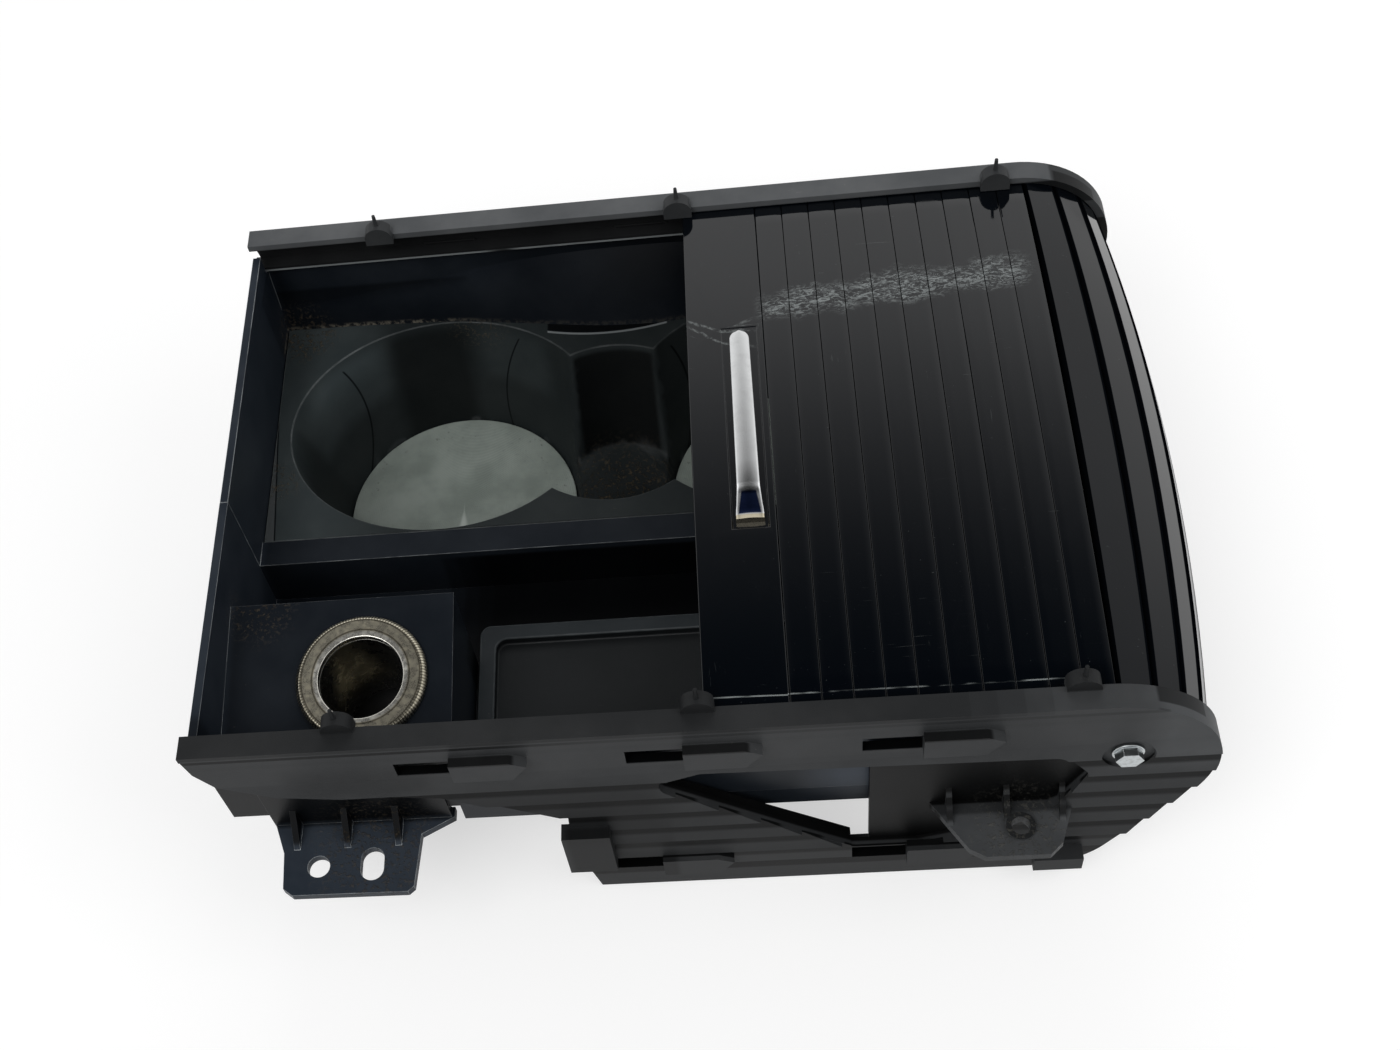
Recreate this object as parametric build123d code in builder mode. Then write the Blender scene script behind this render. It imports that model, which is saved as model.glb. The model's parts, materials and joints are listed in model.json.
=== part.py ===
import os
from math import cos, radians, sin, tan

from build123d import *

os.makedirs("parts", exist_ok=True)

# Millimetres. X runs along the rails, Y across them, Z up. The origin is under the middle, at the base.
length = 238.5
half_w = 83.0
rail_top = 84.0
fit_gap = 0.2

# Side frames: a plate with a channel for the slats that runs over the top, round the end and back below.
plate_t = 2.5
rail_w = 6.0
rail_t = 2.0
groove_h = 6.5
lip_t = 1.5
lip_reach = 4.0
bend_r = 27.0
bend_deg = 118.0
low_r = 20.0
run_start = 90.0
weld = 0.3

# Bands of the plate, each standing proud of the next along its lower edge.
band_first = 23.5
band_pitch = 8.3
band_count = 6
band_h = 0.9
band_rest = 0.8

# Upright clips along the inner edges of the rails, each a round-topped tab with a spike.
clip_first = 37.9
clip_mid = 121.1
clip_last_in = 5.3
clip_len = 7.6
clip_w = 3.5
clip_over = 2.0
clip_seat = 0.2
clip_h = 4.3
spike_r = 0.9
spike_tip = 0.45
spike_h = 3.7

# Slots with a hooked tongue beside each, in an upper and a lower row.
slot_len = 13.5
slot_h = 6.0
slot_drop = 8.3
slot_first = 49.5
slot_last_in = 54.0
slot_count = 3
low_slot_up = 10.5
low_slot_in = 4.0
low_slot_last_in = 56.4
tongue_len = 18.0
tongue_h = 2.6
tongue_rise = 2.2
tongue_point = 4.0

# Window in the plate, with a recessed panel behind its right part and a return wall along its slope.
window_in = 16.0
window_end_in = 1.5
window_r = 4.0
panel_in = 52.0
panel_t = 2.4
return_t = 2.0
return_d = 5.0

# Lugs at the step of the lower edge and under the bend.
lug_len = 12.0
lug_out = 4.0
lug_top = 46.0
lug_h = 20.0
end_lug_in = 11.5
end_lug_z = 6.0
end_lug_h = 6.0

# Feet that the console's screws go through.
foot_drop = 48.0
foot_t = 2.5
foot_out = 14.6
foot_hole_x = 22.7
foot_hole_out = 7.0
foot_hole_r = 2.85
foot_slot_x = 36.4
foot_slot_out = 6.9
foot_slot_w = 5.9
foot_slot_len = 8.6
foot_web_t = 1.6
foot_web_h = 9.0
foot_web_out = 9.5
foot_web_x = (16.0, 29.0, 42.0)
bracket_in = 16.9
bracket_out = 5.5
bracket_reach = 12.6
bracket_root = 4.6
bracket_hole_r = 2.3
collar_t = 1.2
collar_h = 1.2
web_t = 1.4
web_h = 8.0
web_out = 7.0

# Tub and cup insert.
wall = 2.2
tub_x0 = 0.6
tub_end_in = 33.5
end_top_drop = 4.0
near_gap = 3.3
near_step = 1.2
near_step_drop = 44.0
far_lean = 4.8
cup_floor_drop = 72.0
insert_drop = 35.0
insert_t = 2.2
store_drop = 52.0
ridge_y0 = -7.8
ridge_y1 = -0.1
ridge_proud = 0.4
ridge_under = 7.0
joint_gap = 0.05
cup_gap_left = 4.5
cup_gap_right = 12.1
cup_gap_mid = 9.0
cup_gap_near = 0.6
cup_gap_far = 2.5
cup_floor_less = 2.3
cup_floor_back = 6.0
cup_wall = 1.8
mid_rx = 28.0
mid_end = 9.6
mid_back = 3.8
mid_floor_drop = 66.0
mid_floor_less = 6.1
mid_floor_back = 7.0
notch_r = 52.0
notch_d = 3.0
mat_gap = 0.3
mat_t = 1.0
seat_gap = 0.05
shelf_t = 2.0
shelf_w = 3.6
shelf_len = 12.0

# Panel on the floor of the storage tray, with a raised frame.
store_gap = 1.0
store_far_in = 15.2
store_frame = 4.5
store_h = 4.0
store_sunk = 2.5
store_r = 3.0

# Slatted cover, from the bend back to its handle slat.
slat_gap = 0.2
slat_pitch = 7.15
slat_t = 3.2
slat_clear = 0.6
slat_count = 10
tail_lead = 2.1
tail_count = 16
handle_w = 19.6
film_t = 0.45
film_in = 2.0
film_gap = 0.02
trim_in = 13.4
trim_y0 = -28.6
trim_y1 = 34.0
trim_h = 2.4
trim_far = 4.6
trim_mid = 5.4
trim_flare = 7.0
trim_flare_len = 9.0
trim_bevel = 0.7
pocket_d = 1.0
pocket_w = 8.8
pocket_end = 2.0

# Power socket on a raised block, tilted towards the near side.
socket_x = 37.8
socket_in = 23.4
socket_drop = 19.0
socket_tilt = 8.0
socket_r = 10.7
socket_depth = 36.0
shell_wall = 1.0
shell_fit = 0.05
body_wall = 2.35
body_floor = 4.0
contact_r = 5.0
contact_t = 2.0
contact_gap = 0.5
pin_r = 2.0
pin_out = 8.0
ring_r = 16.6
ring_h = 2.0
ring_bevel = 1.0
block_x1 = 60.5
block_in = 45.2
block_t = 2.5

# Cross tube between the frames and its bolts.
tube_in = 6.0
tube_drop = 22.5
tube_r = 5.0
bolt_r = 1.45
bolt_head_w = 5.6
bolt_head_h = 2.2
bolt_len = 13.5
washer_r = 3.7
washer_t = 0.7
dimple_r = 6.0
dimple_d = 0.8

left = -length / 2
bend_x = length - bend_r
bend_z = rail_top - bend_r
bend_a = radians(bend_deg)
diag = (bend_z + bend_r * cos(bend_a) - low_r - low_r * cos(bend_a)) / sin(bend_a)
low_x = bend_x + bend_r * sin(bend_a) + diag * cos(bend_a) - low_r * sin(bend_a)
inner_y = half_w - plate_t
rail_y = half_w - rail_w
lip_y = inner_y - lip_reach
lip_drop = rail_t + groove_h
slat_drop = rail_t + slat_clear
slat_end = inner_y - slat_clear
film_drop = slat_drop + slat_t
tail_x0 = bend_x + tail_lead
slat_x0 = tail_x0 - slat_count * slat_pitch
handle_x1 = slat_x0 - slat_gap
handle_x0 = handle_x1 - handle_w
rim = rail_top - lip_drop - lip_t - fit_gap
foot_z = rail_top - foot_drop
tub_x1 = length - tub_end_in
far_y = inner_y - fit_gap
far_low = far_y - far_lean
near_y = near_gap - inner_y
near_low = near_y + near_step
near_step_z = rail_top - near_step_drop
floor_low = rail_top - cup_floor_drop - cup_wall - fit_gap - wall
floor_z = floor_low + wall
store_z = rail_top - store_drop
store_low = store_z - wall
insert_z = rail_top - insert_drop
cup_z = rail_top - cup_floor_drop
ridge_top = insert_z + ridge_proud
ridge_low = insert_z - ridge_under
over = rail_top + 20
panel_x0 = bend_x - panel_in
window_x0 = run_start + window_in
window_x1 = bend_x - window_end_in
bracket_x = bend_x - bracket_in
bracket_y = half_w + bracket_out


def side(y):
    return Plane(origin=(left, y, 0), x_dir=(1, 0, 0), z_dir=(0, -1, 0))


def level(z):
    return Plane(origin=(left, 0, z))


def across(x):
    return Plane(origin=(left + x, 0, 0), x_dir=(0, 1, 0), z_dir=(1, 0, 0))


def slab(x0, x1, y0, y1, z0, z1, mode=Mode.ADD):
    with Locations((left + (x0 + x1) / 2, (y0 + y1) / 2, (z0 + z1) / 2)):
        Box(x1 - x0, y1 - y0, z1 - z0, mode=mode)


def polygon(points, mode=Mode.ADD):
    with BuildLine() as loop:
        Polyline(*points, close=True)
    make_face(loop.edges(), mode=mode)


# The channel's centre line at a depth d below the rail's top, as the points of its lines and arcs.
def track(d):
    r1 = bend_r - d
    r2 = low_r - d
    m1 = bend_a / 2
    m2 = (bend_a + radians(180)) / 2
    return [
        (0, rail_top - d),
        (bend_x, rail_top - d),
        (bend_x + r1 * sin(m1), bend_z + r1 * cos(m1)),
        (bend_x + r1 * sin(bend_a), bend_z + r1 * cos(bend_a)),
        (low_x + r2 * sin(bend_a), low_r + r2 * cos(bend_a)),
        (low_x + r2 * sin(m2), low_r + r2 * cos(m2)),
        (low_x, d),
        (run_start, d),
    ]


def draw_track(p):
    Line(p[0], p[1])
    ThreePointArc(p[1], p[2], p[3])
    Line(p[3], p[4])
    ThreePointArc(p[4], p[5], p[6])
    Line(p[6], p[7])


def strip(d0, d1):
    a = track(d0)
    b = track(d1)
    with BuildLine() as loop:
        draw_track(a)
        Line(a[7], b[7])
        draw_track(b)
        Line(b[0], a[0])
    make_face(loop.edges())


# Steps of the plate's lower edge, as distance from the left end and drop from the rail's top.
underside = [
    (run_start - 4.5, 60.0), (run_start - 3.7, 41.0), (57.4, 26.8), (18.1, 21.3), (5.0, 15.6), (1.3, 8.5),
]


def plate_face(mode=Mode.ADD):
    p = track(0)
    with BuildLine() as loop:
        draw_track(p)
        Polyline(p[7], *[(x, rail_top - d) for x, d in underside], p[0])
    make_face(loop.edges(), mode=mode)


window = [
    (window_x0, 25.5), (window_x0 + 14.0, 20.5), (window_x1 - 7.0, 22.0), (window_x1, 31.0),
    (window_x1 - 6.0, 46.0), (window_x1 - 24.0, 62.0), (window_x1 - 38.0, 67.0), (window_x1 - 55.0, 67.0),
]


def window_face(mode=Mode.ADD):
    with BuildLine() as loop:
        FilletPolyline(*[(x, rail_top - d) for x, d in window], radius=window_r, close=True)
    make_face(loop.edges(), mode=mode)


def evenly(first, last, count):
    return [first + (last - first) * i / (count - 1) for i in range(count)]


clip_x = (clip_first, clip_mid, bend_x - clip_last_in)
slots = [(x, rail_top - slot_drop - slot_h) for x in evenly(slot_first, bend_x - slot_last_in, slot_count)]
slots += [(x, low_slot_up) for x in evenly(run_start + low_slot_in, bend_x - low_slot_last_in, 2)]
bracket = [
    (bend_x - 39.1, half_w - bracket_root), (bend_x - 34.2, half_w + 3.1), (bend_x - 29.5, half_w + 10.4),
    (bend_x - 25.8, half_w + bracket_reach), (bend_x - 10.7, half_w + bracket_reach),
    (bend_x - 7.5, half_w + 9.7), (bend_x - 4.0, half_w), (bend_x - 4.0, half_w - bracket_root),
]
bracket_webs = (bend_x - 34.0, bend_x - 20.5, bend_x - 7.5)

with BuildPart() as bands:
    for i in range(band_count):
        z = rail_top - band_first - i * band_pitch
        with BuildSketch(across(0)):
            polygon([
                (weld - half_w, z), (-half_w - band_h, z), (-half_w, z + band_pitch - band_rest),
                (weld - half_w, z + band_pitch - band_rest),
            ])
        extrude(amount=length)
    with BuildSketch(side(weld - half_w)):
        plate_face()
        window_face(Mode.SUBTRACT)
    extrude(amount=weld + band_h, mode=Mode.INTERSECT)

with BuildPart() as near_side_frame:
    with BuildSketch(side(-inner_y)):
        plate_face()
        window_face(Mode.SUBTRACT)
    extrude(amount=plate_t)
    with BuildSketch(side(-rail_y)):
        strip(0, rail_t)
    extrude(amount=rail_w)
    with BuildSketch(side(-lip_y)):
        strip(lip_drop, lip_drop + lip_t)
    extrude(amount=lip_reach + weld)
    add(bands.part)
    with BuildSketch(side(panel_t - weld - inner_y)):
        window_face()
        offset(amount=1.0)
        with Locations((panel_x0 + length / 2, rail_top / 2)):
            Rectangle(length, rail_top, mode=Mode.INTERSECT)
    extrude(amount=panel_t)
    with BuildSketch(side(return_d - plate_t - inner_y)):
        a = (window[0][0] + 1.0, rail_top - window[0][1] - 2.6)
        b = (window[-1][0], rail_top - window[-1][1] + 0.6)
        polygon([a, b, (b[0] - return_t, b[1] - return_t), (a[0] - return_t, a[1] - return_t)])
    extrude(amount=return_d)
    for x, z in slots:
        slab(x, x + slot_len, -half_w - band_h - 1, weld - inner_y, z, z + slot_h, Mode.SUBTRACT)
        with BuildSketch(side(weld - half_w)):
            end = x + slot_len + tongue_len
            polygon([
                (x + slot_len, z), (end - tongue_point, z), (end, z + slot_h),
                (end - tongue_point, z + slot_h + tongue_rise), (x + slot_len, z + slot_h + tongue_rise),
            ])
        extrude(amount=weld + tongue_h)
    slab(run_start - lug_len / 2, run_start + lug_len / 2, -half_w - lug_out, weld - half_w,
         rail_top - lug_top - lug_h, rail_top - lug_top)
    slab(bend_x - end_lug_in, bend_x - end_lug_in + lug_len, -half_w - lug_out, weld - half_w,
         end_lug_z, end_lug_z + end_lug_h)
    with BuildSketch(level(foot_z - foot_t)):
        polygon([(x, -y) for x, y in bracket])
        with Locations((bracket_x, -bracket_y)):
            Circle(bracket_hole_r, mode=Mode.SUBTRACT)
    extrude(amount=foot_t)
    with BuildSketch(level(foot_z - weld)):
        with Locations((bracket_x, -bracket_y)):
            Circle(bracket_hole_r + collar_t)
            Circle(bracket_hole_r, mode=Mode.SUBTRACT)
    extrude(amount=weld + collar_h)
    for x in bracket_webs:
        with BuildSketch(across(x)):
            foot = foot_z - weld
            polygon([(-inner_y, foot), (-inner_y - web_out, foot), (-inner_y, foot_z + web_h)])
        extrude(amount=web_t)
    for x in clip_x:
        low = rail_top - rail_t + clip_seat
        high = rail_top + clip_h - clip_len / 2
        with BuildSketch(side(clip_over - rail_y)):
            with BuildLine() as tab:
                r = clip_len / 2
                Polyline((x - r, high), (x - r, low), (x + r, low), (x + r, high))
                ThreePointArc((x + r, high), (x, high + r), (x - r, high))
            make_face(tab.edges())
        extrude(amount=clip_w)
        with Locations((left + x, clip_over - rail_y - clip_w / 2, high)):
            Cone(spike_r, spike_tip, spike_h + clip_len / 2, align=(Align.CENTER, Align.CENTER, Align.MIN))
    with BuildSketch(side(dimple_d - half_w)):
        with Locations((bend_x + tube_in, rail_top - tube_drop)):
            Circle(dimple_r)
    extrude(amount=dimple_d + band_h + 1, mode=Mode.SUBTRACT)
    with BuildSketch(side(weld - inner_y)):
        with Locations((bend_x + tube_in, rail_top - tube_drop)):
            Circle(bolt_r + fit_gap)
    extrude(amount=plate_t + 1, mode=Mode.SUBTRACT)
near_side_frame.part.label = "near_side_frame"
export_step(near_side_frame.part, "parts/near_side_frame.step")

# The far frame is the near one's mirror image, cut back where the tub's far wall leans out under the rail.
with BuildPart() as far_side_frame:
    mirror(near_side_frame.part, about=Plane.XZ)
    with BuildSketch(across(tub_x0 - fit_gap)):
        polygon([
            (0, rim + fit_gap / 2), (far_y + fit_gap, rim + fit_gap / 2),
            (far_low + fit_gap, floor_low - fit_gap), (0, floor_low - fit_gap),
        ])
    extrude(amount=tub_x1 - tub_x0 + 2 * fit_gap, mode=Mode.SUBTRACT)
far_side_frame.part.label = "far_side_frame"
export_step(far_side_frame.part, "parts/far_side_frame.step")

tilt = radians(socket_tilt)
socket_z = rail_top - socket_drop
socket_y = near_y + socket_in
block_y0 = near_y + wall / 2
block_y1 = near_y + block_in
socket_axis = (0, -sin(tilt), cos(tilt))
socket_plane = Plane(origin=(left + socket_x, socket_y, socket_z), x_dir=(1, 0, 0), z_dir=socket_axis)


def block_z(y):
    return socket_z + (y - socket_y) * tan(tilt)


# Outlines of the feet from the wall outwards, as distance from the left end and from the middle plane.
foot_end = [
    (48.5, half_w - 0.5), (47.3, half_w + foot_out - 1.3), (45.8, half_w + foot_out),
    (16.5, half_w + foot_out - 0.2), (14.0, half_w + foot_out - 2.1), (13.4, half_w + 3.0),
]
foot_near = [(9.7, -near_low - 0.5), (56.8, -near_low - 0.5), (56.8, -near_low + wall)] + foot_end
foot_far = [(11.5, far_low + 0.6), (53.0, far_low + 0.6)] + foot_end

insert_x0 = tub_x0 + wall + fit_gap
insert_x1 = tub_x1 - wall - fit_gap
insert_y0 = ridge_y1 + fit_gap
insert_y1 = far_y - wall - far_lean / 2 + fit_gap / 2
cup_rx = (insert_x1 - insert_x0 - cup_gap_left - cup_gap_right - cup_gap_mid) / 4
cup_ry = (insert_y1 - insert_y0 - cup_gap_near - cup_gap_far) / 2
cup_x = (insert_x0 + cup_gap_left + cup_rx, insert_x1 - cup_gap_right - cup_rx)
cup_y = insert_y0 + cup_gap_near + cup_ry
cup_floor_y = cup_y - cup_floor_back
cup_floor_r = cup_ry - cup_floor_less
mid_x = (cup_x[0] + cup_x[1]) / 2
mid_y = cup_y - mid_back
mid_ry = cup_ry - mid_end
mid_z = rail_top - mid_floor_drop
mid_floor_y = mid_y - mid_floor_back
mid_floor_r = mid_ry - mid_floor_less
shelf_z = insert_z - insert_t - fit_gap
shelf_x = (tub_x0 + shelf_len / 2 + 1, mid_x, tub_x1 - shelf_len / 2 - 1)

# The tub in one, which is then parted along the storage side of the ridge.
with BuildPart() as tub:
    with BuildSketch(across(tub_x0)):
        polygon([
            (far_y, rim), (far_low, floor_low), (ridge_y0, floor_low), (ridge_y0, store_low),
            (near_low, store_low), (near_low, near_step_z - near_step),
            (near_y, near_step_z), (near_y, rim),
        ])
    extrude(amount=tub_x1 - tub_x0)
    with BuildSketch(across(tub_x0 + wall)):
        polygon([
            (far_y - wall, over), (far_y - wall, rim), (far_low - wall, floor_z),
            (ridge_y0 + wall, floor_z), (ridge_y0 + wall, ridge_low),
            (ridge_y1, ridge_low), (ridge_y1, over),
        ])
        polygon([
            (ridge_y0, over), (ridge_y0, store_z), (near_low + wall, store_z),
            (near_y + wall, rim), (near_y + wall, over),
        ])
        with Locations(((ridge_y0 + ridge_y1) / 2, (ridge_top + over) / 2)):
            Rectangle(ridge_y1 - ridge_y0 + 2, over - ridge_top)
    extrude(amount=tub_x1 - tub_x0 - 2 * wall, mode=Mode.SUBTRACT)
    slab(tub_x0, tub_x0 + wall, fit_gap - lip_y, lip_y - fit_gap, rim - weld, rail_top - end_top_drop)
    slab(tub_x0 - 5, block_x1 - wall, near_y - 5, block_y1 - wall,
         0, store_z + 2 * foot_t + wall, Mode.SUBTRACT)
    with BuildSketch(across(tub_x0 + wall / 2)):
        polygon([
            (block_y1, block_z(block_y1)), (block_y0, block_z(block_y0)),
            (block_y0, block_z(block_y0) - block_t), (block_y1 - wall, block_z(block_y1 - wall) - block_t),
            (block_y1 - wall, store_low), (block_y1, store_low),
        ])
    extrude(amount=block_x1 - tub_x0 - wall / 2)
    with BuildSketch(across(block_x1 - wall)):
        polygon([
            (block_y1, block_z(block_y1)), (block_y0, block_z(block_y0)), (near_low + wall / 2, store_low),
            (block_y1, store_low),
        ])
    extrude(amount=wall)
    with BuildSketch(socket_plane.offset(-3 * block_t)):
        Circle(socket_r + shell_wall + shell_fit + body_wall + 0.6)
    extrude(amount=6 * block_t, mode=Mode.SUBTRACT)
    for x in shelf_x:
        for y0, y1 in ((far_low - wall / 2, far_low + wall), (ridge_y1 - 1, ridge_y1 + shelf_w)):
            slab(x - shelf_len / 2, x + shelf_len / 2, y0, y1, shelf_z - shelf_t, shelf_z)
    for s, foot in ((-1, foot_near), (1, foot_far)):
        with BuildSketch(level(foot_z - foot_t)):
            polygon([(x, s * y) for x, y in foot])
            with Locations((foot_hole_x, s * (half_w + foot_hole_out))):
                Circle(foot_hole_r, mode=Mode.SUBTRACT)
            with Locations((foot_slot_x, s * (half_w + foot_slot_out))):
                SlotOverall(foot_slot_len, foot_slot_w, rotation=90, mode=Mode.SUBTRACT)
        extrude(amount=foot_t)
    slab(foot_near[0][0] + 0.8, foot_near[1][0] - 0.8, near_low - wall, near_low + weld,
         foot_z - foot_t, block_z(near_low) - block_t / 2)
    for x in foot_web_x:
        with BuildSketch(across(x)):
            polygon([
                (near_low - wall / 2, foot_z - weld), (near_low - foot_web_out, foot_z - weld),
                (near_low - wall / 2, foot_z + foot_web_h),
            ])
        extrude(amount=foot_web_t)

parting = Plane(origin=(0, ridge_y0, 0), x_dir=(1, 0, 0), z_dir=(0, 1, 0))
with BuildPart() as tray_tub:
    add(tub.part)
    split(bisect_by=parting, keep=Keep.TOP)
tray_tub.part.label = "tray_tub"
export_step(tray_tub.part, "parts/tray_tub.step")

with BuildPart() as storage_tub:
    add(tub.part)
    split(bisect_by=parting.offset(-joint_gap), keep=Keep.BOTTOM)
storage_tub.part.label = "storage_tub"
export_step(storage_tub.part, "parts/storage_tub.step")

# The wells of the insert: place and half axes of the mouth, place and radius of the floor, floor's height.
wells = [((x, cup_y), (cup_rx, cup_ry), (x, cup_floor_y), cup_floor_r, cup_z) for x in cup_x]
wells.append(((mid_x, mid_y), (mid_rx, mid_ry), (mid_x, mid_floor_y), mid_floor_r, mid_z))


def well(mouth, axes, floor, r, z, top, grow, mode):
    with BuildSketch(level(top)) as upper:
        with Locations(mouth):
            Ellipse(axes[0] + grow, axes[1] + grow)
    with BuildSketch(level(z - grow)) as lower:
        with Locations(floor):
            Circle(r + grow)
    loft(sections=[upper.sketch.face(), lower.sketch.face()], mode=mode)


with BuildPart() as cup_insert:
    for shape in wells:
        well(*shape, insert_z - insert_t + weld, cup_wall, Mode.ADD)
    slab(insert_x0, insert_x1, insert_y0 - cup_wall - weld, insert_y0,
         ridge_low - fit_gap, insert_z, Mode.SUBTRACT)
    slab(insert_x0, insert_x1, insert_y0, insert_y1, insert_z - insert_t, insert_z)
    for shape in wells:
        well(*shape, insert_z, 0, Mode.SUBTRACT)
    with BuildSketch(level(insert_z - insert_t - weld)):
        with Locations((mid_x, insert_y1 + notch_r - notch_d)):
            Circle(notch_r)
    extrude(amount=insert_t + 2 * weld, mode=Mode.SUBTRACT)
cup_insert.part.label = "cup_insert"
export_step(cup_insert.part, "parts/cup_insert.step")

for name, x in zip(("cup_mat_left", "cup_mat_right"), cup_x):
    with BuildPart() as mat:
        with BuildSketch(level(cup_z + seat_gap)):
            with Locations((x, cup_floor_y)):
                Circle(cup_floor_r - mat_gap)
        extrude(amount=mat_t)
    mat.part.label = name
    export_step(mat.part, f"parts/{name}.step")

store_x0 = block_x1 + store_gap
store_x1 = tub_x1 - wall - store_gap
store_y0 = near_low + wall + store_gap
store_y1 = ridge_y0 - store_far_in
store_lx = store_x1 - store_x0
store_ly = store_y1 - store_y0
with BuildPart() as storage_mat:
    with BuildSketch(level(store_z + seat_gap)):
        with Locations(((store_x0 + store_x1) / 2, (store_y0 + store_y1) / 2)):
            RectangleRounded(store_lx, store_ly, store_r)
    extrude(amount=store_h)
    with BuildSketch(level(store_z + seat_gap + store_h - store_sunk)):
        with Locations(((store_x0 + store_x1) / 2, (store_y0 + store_y1) / 2)):
            RectangleRounded(store_lx - 2 * store_frame, store_ly - 2 * store_frame, store_r)
    extrude(amount=store_sunk, mode=Mode.SUBTRACT)
storage_mat.part.label = "storage_mat"
export_step(storage_mat.part, "parts/storage_mat.step")

slat_top = rail_top - slat_drop
trim_x = handle_x0 + trim_in
with BuildPart() as handle_slat:
    slab(handle_x0, handle_x1, -slat_end, slat_end, slat_top - slat_t, slat_top)
    slab(trim_x - pocket_w / 2, trim_x + pocket_w / 2, trim_y0 - pocket_end, trim_y1 + pocket_end,
         slat_top - pocket_d, slat_top + 1, Mode.SUBTRACT)
handle_slat.part.label = "handle_slat"
export_step(handle_slat.part, "parts/handle_slat.step")

with BuildPart() as handle_trim:
    with BuildSketch(level(slat_top - pocket_d + film_gap)):
        polygon([
            (trim_x - trim_far / 2, trim_y1), (trim_x + trim_far / 2, trim_y1),
            (trim_x + trim_mid / 2, trim_y0 + trim_flare_len), (trim_x + trim_flare / 2, trim_y0),
            (trim_x - trim_flare / 2, trim_y0), (trim_x - trim_mid / 2, trim_y0 + trim_flare_len),
        ])
    extrude(amount=trim_h)
    chamfer(handle_trim.faces().sort_by(Axis.Z)[-1].edges(), trim_bevel)
handle_trim.part.label = "handle_trim"
export_step(handle_trim.part, "parts/handle_trim.step")

slat_w = slat_pitch - slat_gap
for i in range(slat_count):
    with BuildPart() as slat:
        x0 = slat_x0 + i * slat_pitch
        slab(x0, x0 + slat_w, -slat_end, slat_end, slat_top - slat_t, slat_top)
    slat.part.label = f"slat_{i + 1:02d}"
    export_step(slat.part, f"parts/slat_{i + 1:02d}.step")

film_z = rail_top - film_drop - film_gap
with BuildPart() as curtain_film:
    slab(slat_x0, tail_x0 - slat_gap, film_in - slat_end, slat_end - film_in, film_z - film_t, film_z)
curtain_film.part.label = "curtain_film"
export_step(curtain_film.part, "parts/curtain_film.step")

film_r = bend_r - film_drop
film_low_r = low_r - film_drop
arc_1 = film_r * bend_a
arc_2 = film_low_r * (radians(180) - bend_a)


# The point and the turn at a run s past the start of the bend, at a depth d below the channel's outer face.
def on_track(s, d):
    if s < arc_1:
        a = s / film_r
        return bend_x + (bend_r - d) * sin(a), bend_z + (bend_r - d) * cos(a), a
    if s < arc_1 + diag:
        t = s - arc_1
        x = bend_x + (bend_r - d) * sin(bend_a) + t * cos(bend_a)
        return x, bend_z + (bend_r - d) * cos(bend_a) - t * sin(bend_a), bend_a
    if s < arc_1 + diag + arc_2:
        a = bend_a + (s - arc_1 - diag) / film_low_r
        return low_x + (low_r - d) * sin(a), low_r + (low_r - d) * cos(a), a
    return low_x - (s - arc_1 - diag - arc_2), d, radians(180)


tail_s0 = tail_lead + slat_gap
tail_s1 = max(tail_lead + tail_count * slat_pitch, arc_1 + diag + arc_2 + 1)
with BuildPart() as curtain_tail:
    film_a = film_drop - weld
    film_b = film_drop + film_t
    with BuildSketch(side(slat_end - film_in)):
        with BuildLine():
            for d in (film_a, film_b):
                p = track(d)
                ThreePointArc(on_track(tail_s0, d)[:2], on_track((tail_s0 + arc_1) / 2, d)[:2], p[3])
                Line(p[3], p[4])
                ThreePointArc(p[4], p[5], p[6])
                Line(p[6], on_track(tail_s1, d)[:2])
            Line(on_track(tail_s0, film_a)[:2], on_track(tail_s0, film_b)[:2])
            Line(on_track(tail_s1, film_a)[:2], on_track(tail_s1, film_b)[:2])
        make_face()
    extrude(amount=2 * (slat_end - film_in))
    for i in range(tail_count):
        x, z, a = on_track(tail_lead + (i + 0.5) * slat_pitch, slat_drop + slat_t / 2)
        along = (cos(a), 0, -sin(a))
        with Locations(Plane(origin=(left + x, 0, z), x_dir=along, z_dir=(sin(a), 0, cos(a)))):
            Box(slat_w, 2 * slat_end, slat_t)
curtain_tail.part.label = "curtain_tail"
export_step(curtain_tail.part, "parts/curtain_tail.step")

shell_len = socket_depth - ring_h - shell_fit
contact_top = -shell_len - contact_gap
body_top = contact_top - contact_t
with BuildPart() as socket_ring:
    with BuildSketch(socket_plane.offset(shell_fit)):
        Circle(ring_r)
        Circle(socket_r, mode=Mode.SUBTRACT)
    extrude(amount=ring_h)
    chamfer(socket_ring.edges().filter_by(GeomType.CIRCLE).sort_by(SortBy.RADIUS)[-1], ring_bevel)
socket_ring.part.label = "socket_ring"
export_step(socket_ring.part, "parts/socket_ring.step")

with BuildPart() as socket_shell:
    with BuildSketch(socket_plane.offset(-shell_len)):
        Circle(socket_r + shell_wall)
        Circle(socket_r, mode=Mode.SUBTRACT)
    extrude(amount=shell_len)
socket_shell.part.label = "socket_shell"
export_step(socket_shell.part, "parts/socket_shell.step")

with BuildPart() as socket_body:
    with BuildSketch(socket_plane.offset(body_top - body_floor)):
        Circle(socket_r + shell_wall + shell_fit + body_wall)
    extrude(amount=body_floor - body_top)
    with BuildSketch(socket_plane.offset(body_top)):
        Circle(socket_r + shell_wall + shell_fit)
    extrude(amount=-body_top, mode=Mode.SUBTRACT)
    with BuildSketch(socket_plane.offset(body_top - body_floor)):
        Circle(pin_r + shell_fit)
    extrude(amount=body_floor, mode=Mode.SUBTRACT)
socket_body.part.label = "socket_body"
export_step(socket_body.part, "parts/socket_body.step")

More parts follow.
